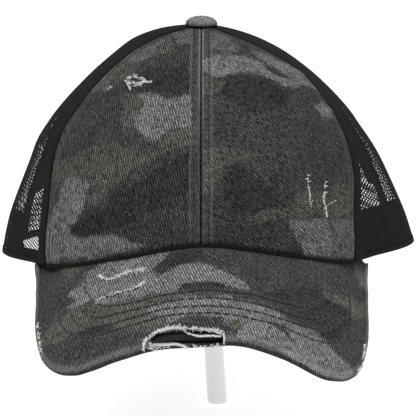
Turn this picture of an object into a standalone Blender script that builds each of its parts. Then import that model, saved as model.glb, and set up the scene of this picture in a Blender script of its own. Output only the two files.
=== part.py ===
"""A ponytail baseball cap on a plain pole stand. Metres, +Z up, the peak towards -Y.

The crown is six sewn panels round one axis: two of washed twill in front and four of open mesh behind,
with an arched opening for the hair between the two back ones. The origin is the middle of the underside
of the stand's base.
"""

import math
from collections import namedtuple

import bmesh
import bpy
from mathutils import Vector

# Stand
BASE_RADIUS = 0.060
BASE_THICKNESS = 0.005
POLE_RADIUS = 0.005
POLE_LEAN = 0.0616  # sideways run of the pole for each metre that it rises
REST_RADIUS = 0.034
REST_THICKNESS = 0.0035

# Crown, outer surface
RIM_HEIGHT = 0.083  # the rim at the sides, above the table
CROWN_OFFSET = -0.0081  # the crown's axis, sideways from the middle of the base
CROWN_HEIGHT = 0.1192  # from the rim at the sides to the top
HALF_WIDTH = 0.092
FRONT_REACH = 0.088
BACK_REACH = 0.080
BACK_FULLNESS = 2.25  # 2 is an oval, and more is squarer
LEFT_FLARE = 0.0115  # how far the mesh stands out beyond the half width at the rim
RIGHT_FLARE = 0.0175
FLARE_TOP = 0.58  # share of the crown's height where the flare ends
FLARE_ANGLE = 98.0
FLARE_SPREAD = 35.0  # towards the front
FLARE_SPREAD_BEHIND = 62.0
CROWN_HOLE = 0.0034  # radius left open at the top for the button's stub

BACK_SEAM = 112.0  # seam behind the side mesh, in degrees round the crown from the middle of the front

# Cloth
TWILL = 0.0012
MESH = 0.0010
TAPE = 0.0010
TAPE_WIDTH = 0.011
TAPE_CLEARANCE = 0.0025  # from the sweatband's free edge to the tapes
GAP = 0.0003
LINING_GAP = 0.0006  # between the crown and what lies inside it

# Sweatband
BAND_THICKNESS = 0.0016
BAND_HEIGHT = 0.024
BAND_LOW_HEIGHT = 0.006  # where its free edge is turned down, on the left
BAND_DIP_ANGLE = -72.0
BAND_DIP_SPREAD = 8.0

# Opening for the hair
OPENING_HALF_WIDTH = 0.031
OPENING_HEIGHT = 0.074
BINDING_WIDTH = 0.006
BINDING_THICKNESS = 0.0022
STRAP_HEIGHT = 0.020
STRAP_THICKNESS = 0.0018

# Peak
PEAK_LENGTH = 0.066  # from the seam to the front edge, in plan
PEAK_THICKNESS = 0.0052
PEAK_CLOTH = 0.0010
PEAK_TIP_ANGLE = 67.0
TIP_TUCK = 0.012  # how far the peak's tips reach in under the crown
TIP_START = 0.66  # share of the tip angle where that begins
PEAK_DROP = 0.045
PEAK_BULGE = 0.0015
PEAK_END = 0.985  # share of the half width at which the rolled cover ends, under the mesh
TEAR_OFFSET = -0.0076
TEAR_HALF_WIDTH = 0.0175
TEAR_DEPTH = 0.0045
TEAR_HALF_HEIGHT = 0.0030

# Button
BUTTON_RADIUS = 0.0080
BUTTON_HEIGHT = 0.0047
STUB_RADIUS = 0.0018

# Horizontal sections of the crown, from the rim to the top, as shares of its height, half width and reaches
Section = namedtuple("Section", "height left right front back")
CROWN_SECTIONS = (
    Section(0.000, 1.000, 1.027, 0.985, 1.000),
    Section(0.107, 1.000, 1.027, 0.995, 0.990),
    Section(0.212, 0.987, 1.016, 1.000, 0.972),
    Section(0.420, 0.926, 0.959, 0.975, 0.905),
    Section(0.525, 0.889, 0.905, 0.930, 0.852),
    Section(0.633, 0.800, 0.818, 0.860, 0.785),
    Section(0.771, 0.637, 0.648, 0.700, 0.650),
    Section(0.865, 0.503, 0.492, 0.530, 0.520),
    Section(0.934, 0.385, 0.328, 0.350, 0.385),
    Section(0.980, 0.226, 0.152, 0.170, 0.220),
    Section(1.000, 0.000, 0.000, 0.000, 0.000),
)

# How far the rim stands above its lowest line, in degrees round the crown from the middle of the front
RimLift = namedtuple("RimLift", "angle lift")
RIM_LIFTS = (
    RimLift(-180, 0.0),
    RimLift(-130, 0.0),
    RimLift(-90, 0.0022),
    RimLift(-67, 0.0062),
    RimLift(-51, 0.0094),
    RimLift(-27, 0.0187),
    RimLift(0, 0.0275),
    RimLift(27, 0.0208),
    RimLift(51, 0.0120),
    RimLift(67, 0.0098),
    RimLift(90, 0.0072),
    RimLift(130, 0.0020),
    RimLift(180, 0.0),
)

# Seam between the front panels and the side mesh, by share of the crown's height, in degrees round the crown
FrontSeam = namedtuple("FrontSeam", "height left right")
FRONT_SEAMS = (
    FrontSeam(0.00, 57.5, 54.0),
    FrontSeam(0.30, 58.0, 55.5),
    FrontSeam(0.45, 60.0, 59.5),
    FrontSeam(0.61, 62.5, 63.5),
    FrontSeam(0.72, 64.0, 67.0),
    FrontSeam(0.83, 63.5, 69.5),
    FrontSeam(0.91, 61.0, 66.0),
    FrontSeam(0.96, 60.0, 58.0),
    FrontSeam(1.00, 59.0, 52.0),
)

# Outer edge of the peak from its middle to its tip, as shares of the half width, of the reach to the
# front edge, and of the drop below the middle of the seam, with what the right side drops beyond it
PeakEdge = namedtuple("PeakEdge", "across sideways forward drop right_drop")
PEAK_EDGES = (
    PeakEdge(0.00, 0.000, 1.000, 0.593, 0.000),
    PeakEdge(0.15, 0.215, 0.992, 0.638, -0.040),
    PeakEdge(0.30, 0.430, 0.958, 0.798, -0.015),
    PeakEdge(0.45, 0.640, 0.885, 1.028, 0.050),
    PeakEdge(0.60, 0.786, 0.775, 1.070, 0.095),
    PeakEdge(0.75, 0.858, 0.620, 0.928, 0.070),
    PeakEdge(0.88, 0.882, 0.415, 0.695, 0.020),
    PeakEdge(1.00, 0.896, 0.245, 0.492, 0.000),
)


def hermite(knots, values, x):
    """Smooth curve through (knots, values), read at x."""
    last = len(knots) - 1
    x = min(max(x, knots[0]), knots[last])
    i = next(n for n in range(last) if x <= knots[n + 1])

    def slope(n):
        low, high = max(n - 1, 0), min(n + 1, last)
        return (values[high] - values[low]) / (knots[high] - knots[low])

    span = knots[i + 1] - knots[i]
    t = (x - knots[i]) / span
    rise = values[i + 1] - values[i]
    start, end = slope(i) * span, slope(i + 1) * span
    return values[i] + t * (start + t * (3 * rise - 2 * start - end + t * (start + end - 2 * rise)))


def ease(t):
    """0 below 0, 1 above 1, and smooth between."""
    t = min(max(t, 0.0), 1.0)
    return t * t * (3 - 2 * t)


def climb_knots():
    """Share of the side line's length from the rim to each section. A section past the top, mirrored, keeps
    the top round."""
    lengths = [0.0]
    for low, high in zip(CROWN_SECTIONS, CROWN_SECTIONS[1:]):
        run = (high.left - low.left) * HALF_WIDTH
        rise = (high.height - low.height) * CROWN_HEIGHT
        lengths.append(lengths[-1] + math.hypot(run, rise))
    beyond = 2 * lengths[-1] - lengths[-2]
    return [length / lengths[-1] for length in (*lengths, beyond)]


CLIMBS = climb_knots()
MIRRORED = CROWN_SECTIONS[-2]
SECTIONS_OVER_TOP = (
    *CROWN_SECTIONS,
    Section(MIRRORED.height, -MIRRORED.left, -MIRRORED.right, -MIRRORED.front, -MIRRORED.back),
)


def section_share(column, climb):
    return hermite(CLIMBS, [getattr(row, column) for row in SECTIONS_OVER_TOP], climb)


def rim_lift(angle):
    return hermite([row.angle for row in RIM_LIFTS], [row.lift for row in RIM_LIFTS], angle)


def climb_at(height):
    """The climb at which the crown's surface is this far above its lowest rim."""
    low, high = 0.0, 1.0
    for _ in range(40):
        middle = (low + high) / 2
        if section_share("height", middle) * CROWN_HEIGHT < height:
            low = middle
        else:
            high = middle
    return (low + high) / 2


def climb_at_radius(radius):
    """The climb at which the crown's side is this far from the axis."""
    low, high = 0.5, 1.0
    for _ in range(40):
        middle = (low + high) / 2
        if section_share("left", middle) * HALF_WIDTH > radius:
            low = middle
        else:
            high = middle
    return (low + high) / 2


def flare(angle, climb):
    """How far the mesh stands out beyond the oval section."""
    swing = abs(angle) - FLARE_ANGLE
    swing /= FLARE_SPREAD if swing < 0 else FLARE_SPREAD_BEHIND
    if abs(swing) >= 1:
        return 0.0
    fade = max(0.0, 1 - section_share("height", climb) / FLARE_TOP)
    amount = RIGHT_FLARE if angle > 0 else LEFT_FLARE
    return amount * fade**1.2 * (1 + math.cos(math.pi * swing)) / 2


def crown_surface(angle, climb):
    """A point of the crown's outer surface."""
    turn = math.radians(angle)
    half_width = section_share("right" if angle > 0 else "left", climb) * HALF_WIDTH
    if abs(angle) < 90:
        reach, power = section_share("front", climb) * FRONT_REACH, 2.0
    else:
        reach, power = section_share("back", climb) * BACK_REACH, BACK_FULLNESS
    sideways, lengthways = abs(math.sin(turn)) / half_width, abs(math.cos(turn)) / reach
    radius = (sideways**power + lengthways**power) ** (-1 / power)
    radius += flare(angle, climb)
    height = RIM_HEIGHT + section_share("height", climb) * CROWN_HEIGHT
    return Vector((CROWN_OFFSET + radius * math.sin(turn), -radius * math.cos(turn), height))


def crown_normal(angle, climb):
    """Outward normal of the crown."""
    climb = min(climb, 0.985)
    around = crown_surface(angle + 0.5, climb) - crown_surface(angle - 0.5, climb)
    upward = crown_surface(angle, climb + 0.005) - crown_surface(angle, max(climb - 0.005, 0))
    return around.cross(upward).normalized()


def crown_point(angle, climb, inset=0.0):
    """A point this far inside the crown's outer surface."""
    return crown_surface(angle, climb) - crown_normal(angle, climb) * inset


def degrees_along(length, angle, climb):
    """The angle round the crown that this length spans."""
    point = crown_surface(angle, climb)
    return math.degrees(length / math.hypot(point.x - CROWN_OFFSET, point.y))


def material(name, colour, roughness, metallic=0.0):
    made = bpy.data.materials.new(name)
    made.use_nodes = True
    shader = made.node_tree.nodes["Principled BSDF"]
    shader.inputs["Base Color"].default_value = (*colour, 1)
    shader.inputs["Roughness"].default_value = roughness
    shader.inputs["Metallic"].default_value = metallic
    return made


def add_object(name, body, look):
    """Turns a bmesh into a smooth-shaded object."""
    mesh = bpy.data.meshes.new(name)
    body.to_mesh(mesh)
    body.free()
    mesh.materials.append(look)
    mesh.shade_smooth()
    mesh.set_sharp_from_angle(angle=math.radians(40))
    made = bpy.data.objects.new(name, mesh)
    bpy.context.scene.collection.objects.link(made)
    return made


def sheet(name, place, columns, rows, thickness, look):
    """A wall of cloth: place(u, v) gives its outer face for u and v from 0 to 1, and the thickness goes
    inwards."""
    body = bmesh.new()
    bmesh.ops.create_grid(body, x_segments=columns, y_segments=rows, size=0.5)
    for corner in body.verts:
        corner.co = place(corner.co.x + 0.5, corner.co.y + 0.5)
    made = add_object(name, body, look)
    wall = made.modifiers.new("Wall", "SOLIDIFY")
    wall.thickness = thickness
    wall.offset = -1
    wall.use_even_offset = True
    return made


def front_seam(side, climb):
    """Angle of the seam on the right (side 1) or the left (side -1) at a climb."""
    height = section_share("height", climb)
    column = "right" if side > 0 else "left"
    knots = [row.height for row in FRONT_SEAMS]
    return side * hermite(knots, [getattr(row, column) for row in FRONT_SEAMS], height)


def rim_climb(angle):
    return climb_at(rim_lift(angle))


TOP_CLIMB = climb_at_radius(CROWN_HOLE)
# Rows of a panel crowd together towards the top, where the crown bends most
ROW_CROWDING = 0.82


def panel(name, start, end, thickness, look, columns=9, rows=18):
    """One panel from seam to seam. start and end give the seam's angle at a climb."""

    def place(u, v):
        share = 1 - (1 - v) ** (1 / ROW_CROWDING)
        rough_angle = start(0.0) + (end(0.0) - start(0.0)) * u
        low = rim_climb(rough_angle)
        climb = low + (TOP_CLIMB - low) * share
        first, last = start(climb), end(climb)
        first += degrees_along(GAP / 2, first, climb)
        last -= degrees_along(GAP / 2, last, climb)
        return crown_point(first + (last - first) * u, climb)

    return sheet(name, place, columns, rows, thickness, look)


def opening_half_angle(climb, margin=0.0):
    """Half the angle that the opening spans at a climb, with a margin of this length round it."""
    height = section_share("height", climb) * CROWN_HEIGHT
    top = OPENING_HEIGHT + margin
    if height >= top:
        return 0.0
    half_width = (OPENING_HALF_WIDTH + margin) * math.sqrt(1 - (height / top) ** 2.6)
    reach = section_share("back", climb) * BACK_REACH
    return math.degrees(math.atan2(half_width, reach))


def back_panel(name, side, look, columns=9, rows_beside=11, rows_above=7):
    """A back mesh panel: beside the opening it ends at the binding, and above it at the middle seam."""
    margin = BINDING_WIDTH + GAP
    fork = climb_at(OPENING_HEIGHT + margin)
    rows = rows_beside + rows_above

    def place(u, v):
        row = round(v * rows)
        if row <= rows_beside:
            share = math.sin(math.pi / 2 * row / rows_beside)
            climb = fork * share
        else:
            share = (row - rows_beside) / rows_above
            climb = fork + (TOP_CLIMB - fork) * share
        inner = 180 - opening_half_angle(climb, margin)
        climb = max(climb, rim_climb(side * (BACK_SEAM + inner) / 2))
        outer = BACK_SEAM + degrees_along(GAP / 2, BACK_SEAM, climb)
        inner -= degrees_along(GAP / 2, inner, climb)
        along = u if side > 0 else 1 - u
        return crown_point(side * (outer + (inner - outer) * along), climb)

    return sheet(name, place, columns, rows, MESH, look)


def binding(look, steps=30):
    """The flat tape round the opening's edge, in the line of the mesh."""

    def place(u, v):
        turn = 1 - 2 * u
        margin = BINDING_WIDTH * (1 - v)
        top = OPENING_HEIGHT + margin
        height = top * math.cos(math.pi / 2 * turn) ** (2 / 2.6)
        climb = climb_at(height)
        half = opening_half_angle(climb, margin) if abs(turn) > 1e-6 else 0.0
        side = 1 if turn < 0 else -1
        return crown_point(side * (180 - half), climb, MESH / 2 - BINDING_THICKNESS / 2)

    return sheet("opening_binding", place, steps, 1, BINDING_THICKNESS, look)


def band_top(angle):
    """Height of the sweatband's free edge above the rim."""
    swing = min(abs(angle - BAND_DIP_ANGLE) / BAND_DIP_SPREAD, 1.0)
    dip = ease(2 * (1 - swing))
    return BAND_HEIGHT + (BAND_LOW_HEIGHT - BAND_HEIGHT) * dip


def sweatband(look, steps=96, rows=2):
    end = 180 - opening_half_angle(0.0, BINDING_WIDTH + 2 * GAP)

    def place(u, v):
        angle = -end + 2 * end * u
        low = rim_climb(angle)
        high = climb_at(rim_lift(angle) + band_top(angle))
        return crown_point(angle, low + (high - low) * v, TWILL + LINING_GAP)

    return sheet("sweatband", place, steps, rows, BAND_THICKNESS, look)


def strap(look, steps=10):
    """The closing strap across the foot of the opening, inside the binding."""
    half = opening_half_angle(0.0, BINDING_WIDTH - GAP)

    def place(u, v):
        angle = 180 - half + 2 * half * u
        angle = angle if angle <= 180 else angle - 360
        inset = MESH / 2 + BINDING_THICKNESS / 2 + GAP
        return crown_point(angle, climb_at(STRAP_HEIGHT) * v, inset)

    return sheet("back_strap", place, steps, 2, STRAP_THICKNESS, look)


TAPE_TOP = climb_at_radius(1.6 * TAPE_WIDTH)


def seam_tape(name, seam, look, rows=12):
    """The tape over a seam inside the crown, from above the sweatband to the top. seam gives its angle."""

    def place(u, v):
        low = climb_at(rim_lift(seam(0.0)) + BAND_HEIGHT + TAPE_CLEARANCE)
        climb = low + (TAPE_TOP - low) * v
        half = degrees_along(TAPE_WIDTH / 2, seam(climb), climb)
        return crown_point(seam(climb) + half * (2 * u - 1), climb, TWILL + LINING_GAP)

    return sheet(name, place, 2, rows, TAPE, look)


def peak_seam(across):
    """The top of the peak's inner edge, under the crown's wall."""
    angle = across * PEAK_TIP_ANGLE
    tuck = TIP_TUCK * ease((abs(across) - TIP_START) / (1 - TIP_START))
    point = crown_point(angle, rim_climb(angle), TWILL + tuck)
    return point - Vector((0, 0, LINING_GAP))


def peak_edge(across):
    """The top of the peak's outer edge."""
    knots = [row.across for row in PEAK_EDGES]

    def share(column):
        return hermite(knots, [getattr(row, column) for row in PEAK_EDGES], abs(across))

    half_width = HALF_WIDTH * (1.01 if across > 0 else 1.0)
    drop = share("drop") + share("right_drop") * (across > 0)
    return Vector((
        CROWN_OFFSET + math.copysign(share("sideways"), across) * half_width,
        -share("forward") * (FRONT_REACH + PEAK_LENGTH),
        RIM_HEIGHT + rim_lift(0) - drop * PEAK_DROP,
    ))


def peak_outward(across):
    """Direction out of the peak's edge, square to the edge."""
    along = peak_edge(across + 0.01) - peak_edge(across - 0.01)
    upward = along.cross(peak_seam(across) - peak_edge(across))
    return along.cross(upward).normalized()


def peak_top(across, forward, trim):
    """A point of the peak's top face: forward is 0 at the seam and 1 at this trim inside the outer edge."""
    end = peak_edge(across) - peak_outward(across) * trim
    bulge = 4 * forward * (1 - forward) * PEAK_BULGE
    return peak_seam(across).lerp(end, forward) + Vector((0, 0, bulge))


def peak_frame(across, forward, trim):
    """A point of the top face and its upward normal."""
    ahead = peak_top(across, forward + 0.02, trim) - peak_top(across, forward - 0.02, trim)
    beside = peak_top(across + 0.01, forward, trim) - peak_top(across - 0.01, forward, trim)
    return peak_top(across, forward, trim), ahead.cross(beside).normalized()


PEAK_COLUMNS = 32
PEAK_ROWS = 7


def peak_cover(look, columns=PEAK_COLUMNS, flat_rows=PEAK_ROWS, round_rows=5):
    """Cloth over both faces of the peak, rolled round its outer edge and torn open in front."""
    radius = PEAK_THICKNESS / 2
    rows = 2 * flat_rows + round_rows

    def place(u, v):
        across = PEAK_END * (2 * u - 1)
        row = round(v * rows)
        if row < flat_rows or row > flat_rows + round_rows:
            side = -1 if row < flat_rows else 1
            forward = (row if row < flat_rows else rows - row) / flat_rows
            point, normal = peak_frame(across, forward, radius)
            return point + normal * radius * (side - 1)
        turn = math.pi * ((row - flat_rows) / round_rows - 0.5)
        point, normal = peak_frame(across, 1.0, radius)
        lift = normal * (math.sin(turn) - 1) + peak_outward(across) * math.cos(turn)
        return point + lift * radius

    cover = sheet("peak_cover", place, columns, rows, PEAK_CLOTH, look)
    tear = bmesh.new()
    bmesh.ops.create_uvsphere(tear, u_segments=20, v_segments=10, radius=1.0)
    for corner in tear.verts:
        corner.co.x *= TEAR_HALF_WIDTH
        corner.co.y *= TEAR_DEPTH
        corner.co.z *= TEAR_HALF_HEIGHT
        corner.co += peak_edge(TEAR_OFFSET / HALF_WIDTH) + Vector((0, 0, -PEAK_THICKNESS / 4))
    cutter = add_object("tear_cutter", tear, look)
    cutter.hide_render = True
    cutter.display_type = "WIRE"
    cut = cover.modifiers.new("Tear", "BOOLEAN")
    cut.operation = "DIFFERENCE"
    cut.object = cutter
    return cover


def peak_board(look, columns=PEAK_COLUMNS - 2, rows=PEAK_ROWS):
    """The stiff board inside the cover, on the cover's own columns and rows."""
    inset = PEAK_CLOTH + LINING_GAP
    thickness = PEAK_THICKNESS - 2 * inset

    def place(u, v):
        across = PEAK_END * (1 - 2 * u) * columns / PEAK_COLUMNS
        point, normal = peak_frame(across, max(v, 0.02), PEAK_THICKNESS / 2 + LINING_GAP)
        return point - normal * inset

    return sheet("peak_board", place, columns, rows, thickness, look)


def turned(name, outline, sides, look, centre=(0, 0)):
    """A solid of revolution about an upright axis. outline runs from the axis round to the axis."""
    body = bmesh.new()
    corners = [body.verts.new((radius, 0, height)) for radius, height in outline]
    edges = [body.edges.new(pair) for pair in zip(corners, corners[1:])]
    bmesh.ops.spin(
        body, geom=corners + edges, axis=(0, 0, 1), cent=(0, 0, 0),
        steps=sides, angle=math.tau, use_merge=True, use_duplicate=False,
    )
    bmesh.ops.remove_doubles(body, verts=body.verts, dist=1e-6)
    bmesh.ops.translate(body, verts=body.verts, vec=(*centre, 0))
    bmesh.ops.recalc_face_normals(body, faces=body.faces)
    return add_object(name, body, look)


def button(look):
    top = RIM_HEIGHT + CROWN_HEIGHT + GAP
    dome = [
        (BUTTON_RADIUS * math.cos(turn), top + BUTTON_HEIGHT * (0.25 + 0.75 * math.sin(turn)))
        for turn in (math.radians(18 * step) for step in range(6))
    ]
    outline = [
        (0, top - TWILL - GAP),
        (STUB_RADIUS, top - TWILL - GAP),
        (STUB_RADIUS, top),
        (BUTTON_RADIUS * 0.86, top),
        *dome[:-1],
        (0, top + BUTTON_HEIGHT),
    ]
    return turned("top_button", outline, 24, look, (CROWN_OFFSET, 0))


REST_INSET = TWILL + TAPE + 2 * LINING_GAP


def lowest_crown(radius, angles=24):
    """Height of the crown's lowest point this far from its axis."""
    heights = []
    for step in range(angles):
        angle = 360 * step / angles - 180
        low, high = 0.0, 1.0
        for _ in range(30):
            middle = (low + high) / 2
            point = crown_surface(angle, middle)
            if math.hypot(point.x - CROWN_OFFSET, point.y) > radius:
                low = middle
            else:
                high = middle
        heights.append(crown_surface(angle, low).z)
    return min(heights)


def stand_rest(look, rings=7):
    """The domed pad that the crown's top sits on."""
    radii = [REST_RADIUS * math.sin(math.pi / 2 * step / rings) for step in range(rings + 1)]
    dome = []
    for radius in radii:
        slope = math.atan2(lowest_crown(radius) - lowest_crown(radius + 0.002), 0.002)
        dome.append((radius, lowest_crown(radius) - REST_INSET / math.cos(slope)))
    shrink = 1 - REST_THICKNESS / REST_RADIUS
    inner = [(radius * shrink, height - REST_THICKNESS) for radius, height in dome]
    return turned("stand_rest", dome + inner[::-1], 32, look, (CROWN_OFFSET, 0))


def stand_pole(look, sides=20):
    """A round pole that leans, with level ends, from the base to the rest."""
    foot = BASE_THICKNESS + GAP
    head = lowest_crown(2 * POLE_RADIUS) - REST_INSET - REST_THICKNESS - GAP
    body = bmesh.new()
    bmesh.ops.create_cone(
        body, cap_ends=True, segments=sides, radius1=POLE_RADIUS, radius2=POLE_RADIUS, depth=head - foot,
    )
    bmesh.ops.translate(body, verts=body.verts, vec=(0, 0, (head + foot) / 2))
    for corner in body.verts:
        corner.co.x -= POLE_LEAN * (corner.co.z - foot)
    return add_object("stand_pole", body, look)


def stand_base(look, sides=48):
    body = bmesh.new()
    bmesh.ops.create_cone(
        body, cap_ends=True, segments=sides, radius1=BASE_RADIUS, radius2=BASE_RADIUS, depth=BASE_THICKNESS,
    )
    bmesh.ops.translate(body, verts=body.verts, vec=(0, 0, BASE_THICKNESS / 2))
    return add_object("stand_base", body, look)


def clear_scene():
    for old in list(bpy.data.objects):
        bpy.data.objects.remove(old)


def main():
    clear_scene()
    twill = material("washed_twill", (0.085, 0.085, 0.088), 0.92)
    mesh = material("black_mesh", (0.012, 0.012, 0.013), 0.75)
    tape = material("black_tape", (0.010, 0.010, 0.011), 0.85)
    board = material("black_board", (0.015, 0.015, 0.016), 0.55)
    lacquer = material("white_lacquer", (0.72, 0.72, 0.73), 0.35)

    panel("front_panel_left", lambda c: front_seam(-1, c), lambda c: 0.0, TWILL, twill)
    panel("front_panel_right", lambda c: 0.0, lambda c: front_seam(1, c), TWILL, twill)
    panel("side_mesh_left", lambda c: -BACK_SEAM, lambda c: front_seam(-1, c), MESH, mesh)
    panel("side_mesh_right", lambda c: front_seam(1, c), lambda c: BACK_SEAM, MESH, mesh)
    back_panel("back_mesh_left", -1, mesh)
    back_panel("back_mesh_right", 1, mesh)
    binding(tape)
    sweatband(tape)
    strap(tape)
    seam_tape("seam_tape_front_left", lambda c: front_seam(-1, c), tape)
    seam_tape("seam_tape_front_right", lambda c: front_seam(1, c), tape)
    seam_tape("seam_tape_back_left", lambda c: -BACK_SEAM, tape)
    seam_tape("seam_tape_back_right", lambda c: BACK_SEAM, tape)
    peak_cover(twill)
    peak_board(board)
    button(twill)
    stand_rest(lacquer)
    stand_pole(lacquer)
    stand_base(lacquer)


main()
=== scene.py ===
"""The looks of a ponytail baseball cap on a pole stand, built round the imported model."""

import math
import random
from collections import namedtuple
from functools import partial

import bmesh
import bpy
import numpy as np
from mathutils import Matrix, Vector, noise
from mathutils.bvhtree import BVHTree


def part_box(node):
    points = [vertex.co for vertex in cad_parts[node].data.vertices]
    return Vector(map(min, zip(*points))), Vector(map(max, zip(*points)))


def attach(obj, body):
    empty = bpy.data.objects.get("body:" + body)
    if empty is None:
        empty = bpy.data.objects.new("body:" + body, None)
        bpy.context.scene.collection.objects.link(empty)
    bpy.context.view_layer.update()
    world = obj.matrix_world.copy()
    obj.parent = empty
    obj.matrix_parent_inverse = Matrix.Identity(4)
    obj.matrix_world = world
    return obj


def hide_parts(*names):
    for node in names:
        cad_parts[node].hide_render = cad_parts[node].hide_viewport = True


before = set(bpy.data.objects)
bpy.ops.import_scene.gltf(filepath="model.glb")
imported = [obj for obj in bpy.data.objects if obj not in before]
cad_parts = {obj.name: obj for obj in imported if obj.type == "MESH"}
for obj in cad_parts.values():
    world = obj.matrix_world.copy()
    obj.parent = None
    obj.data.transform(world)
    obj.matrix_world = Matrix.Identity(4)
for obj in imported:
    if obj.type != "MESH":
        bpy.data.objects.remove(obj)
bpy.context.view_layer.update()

# Camera, fitted to the photograph's frame of 416 x 416 pixels
FRAME_PIXELS = 416
VIEW_DISTANCE = 1.100
VIEW_PITCH = 13.0
VIEW_TARGET = Vector((-0.0048, 0.0, 0.1084))
VIEW_WIDTH = 0.2115  # what the frame spans at the target
SENSOR = 36.0

# Crown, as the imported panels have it
RIM_HEIGHT = 0.083
CROWN_X = (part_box("top_button")[0].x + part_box("top_button")[1].x) / 2
CROWN_HEIGHT = 0.1192
HALF_WIDTH = 0.092
FRONT_REACH = 0.088
BACK_REACH = 0.080
BACK_FULLNESS = 2.25
LEFT_FLARE = 0.0115
RIGHT_FLARE = 0.0175
FLARE_TOP = 0.58
FLARE_ANGLE = 98.0
FLARE_SPREAD = 35.0
FLARE_SPREAD_BEHIND = 62.0
CROWN_HOLE = 0.0034
BACK_SEAM = 112.0

# Cloth
TWILL = 0.0012
GAP = 0.0003
LINING_GAP = 0.0006
TAPE = 0.0010
TAPE_WIDTH = 0.011
TAPE_CLEARANCE = 0.0025
BAND_THICKNESS = 0.0016
BAND_HEIGHT = 0.024
BAND_LOW_HEIGHT = 0.006
BAND_DIP_ANGLE = -68.0
BAND_DIP_SPREAD = 14.0
BAND_HEIGHT_BEHIND = 0.0025

# Net of the mesh panels
NET_ROW = 0.00176
NET_PITCH = 0.00158
NET_STRAND = 0.00074
NET_TILT = 14.0
NET_BORDER = 0.0030
NET_FRONT_BORDER = 0.0062
NET_DEPTH = 0.4  # of a strand, against its width
MESH = 0.0010

# Opening for the hair
OPENING_HALF_WIDTH = 0.031
OPENING_HEIGHT = 0.074
BINDING_WIDTH = 0.006
BINDING_THICKNESS = 0.0022
STRAP_HEIGHT = 0.020
STRAP_THICKNESS = 0.0018

# Peak
PEAK_LENGTH = 0.066
PEAK_THICKNESS = 0.0052
PEAK_CLOTH = 0.0010
PEAK_TIP_ANGLE = 67.0
TIP_TUCK = 0.012
TIP_START = 0.66
PEAK_DROP = 0.045
PEAK_BULGE = 0.0015
PEAK_END = 0.985

# Seams and stitches
TOPSTITCH = 0.0040
SEAM_ROLL = 0.0005
STITCH_LENGTH = 0.0021
STITCH_STEP = 0.0028
STITCH_RADIUS = 0.00022
PEAK_STITCH_LENGTH = 0.0031
PEAK_STITCH_STEP = 0.0041
PEAK_STITCH_RADIUS = 0.00042
CENTRE_TAPE_HALF_WIDTH = 0.004
BACK_TAPE_HALF_WIDTH = 0.003
BEAD_INSET = 0.0012
BEAD_RADIUS = 0.0011
BUTTON_THICKNESS = 0.0047

# Loose fibres
CROWN_FIBRE_RADIUS = 0.00011
PEAK_FIBRE_RADIUS = 0.00012
SLIT_SHADE_RISE = 0.9  # in the photograph's pixels, as the next is
SLIT_GAP_RISE = 1.2
SLIT_GAP_RADIUS = 0.00030

# Where the underside's camouflage is read from the chart
UNDER_ROW = 300
UNDER_START = 0.11
UNDER_ROWS_PER_METRE = 1900

# Room
FLOOR_GREY = 0.25
FLOOR_GLOW = 0.95
ROOM_LIGHT = 0.28

Section = namedtuple("Section", "height left right front back")
CROWN_SECTIONS = (
    Section(0.000, 1.000, 1.027, 0.985, 1.000),
    Section(0.107, 1.000, 1.027, 0.995, 0.990),
    Section(0.212, 0.987, 1.016, 1.000, 0.972),
    Section(0.420, 0.926, 0.959, 0.975, 0.905),
    Section(0.525, 0.889, 0.905, 0.930, 0.852),
    Section(0.633, 0.800, 0.818, 0.860, 0.785),
    Section(0.771, 0.637, 0.648, 0.700, 0.650),
    Section(0.865, 0.503, 0.492, 0.530, 0.520),
    Section(0.934, 0.385, 0.328, 0.350, 0.385),
    Section(0.980, 0.226, 0.152, 0.170, 0.220),
    Section(1.000, 0.000, 0.000, 0.000, 0.000),
)

RimLift = namedtuple("RimLift", "angle lift")
RIM_LIFTS = (
    RimLift(-180, 0.0),
    RimLift(-130, 0.0),
    RimLift(-90, 0.0022),
    RimLift(-67, 0.0062),
    RimLift(-51, 0.0094),
    RimLift(-27, 0.0187),
    RimLift(0, 0.0275),
    RimLift(27, 0.0208),
    RimLift(51, 0.0120),
    RimLift(67, 0.0098),
    RimLift(90, 0.0072),
    RimLift(130, 0.0020),
    RimLift(180, 0.0),
)

FrontSeam = namedtuple("FrontSeam", "height left right")
FRONT_SEAMS = (
    FrontSeam(0.00, 57.5, 54.0),
    FrontSeam(0.30, 58.0, 55.5),
    FrontSeam(0.45, 60.0, 59.5),
    FrontSeam(0.61, 62.5, 63.5),
    FrontSeam(0.72, 64.0, 67.0),
    FrontSeam(0.83, 63.5, 69.5),
    FrontSeam(0.91, 61.0, 66.0),
    FrontSeam(0.96, 60.0, 58.0),
    FrontSeam(1.00, 59.0, 52.0),
)

PeakEdge = namedtuple("PeakEdge", "across sideways forward drop right_drop")
PEAK_EDGES = (
    PeakEdge(0.00, 0.000, 1.000, 0.593, 0.000),
    PeakEdge(0.15, 0.215, 0.992, 0.638, -0.040),
    PeakEdge(0.30, 0.430, 0.958, 0.798, -0.015),
    PeakEdge(0.45, 0.640, 0.885, 1.028, 0.050),
    PeakEdge(0.60, 0.786, 0.775, 1.070, 0.095),
    PeakEdge(0.75, 0.858, 0.620, 0.928, 0.070),
    PeakEdge(0.88, 0.882, 0.415, 0.695, 0.020),
    PeakEdge(0.94, 0.890, 0.325, 0.590, 0.010),
    PeakEdge(1.00, 0.891, 0.245, 0.385, 0.000),
)


# Curves and places, worked out on whole arrays


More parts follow.
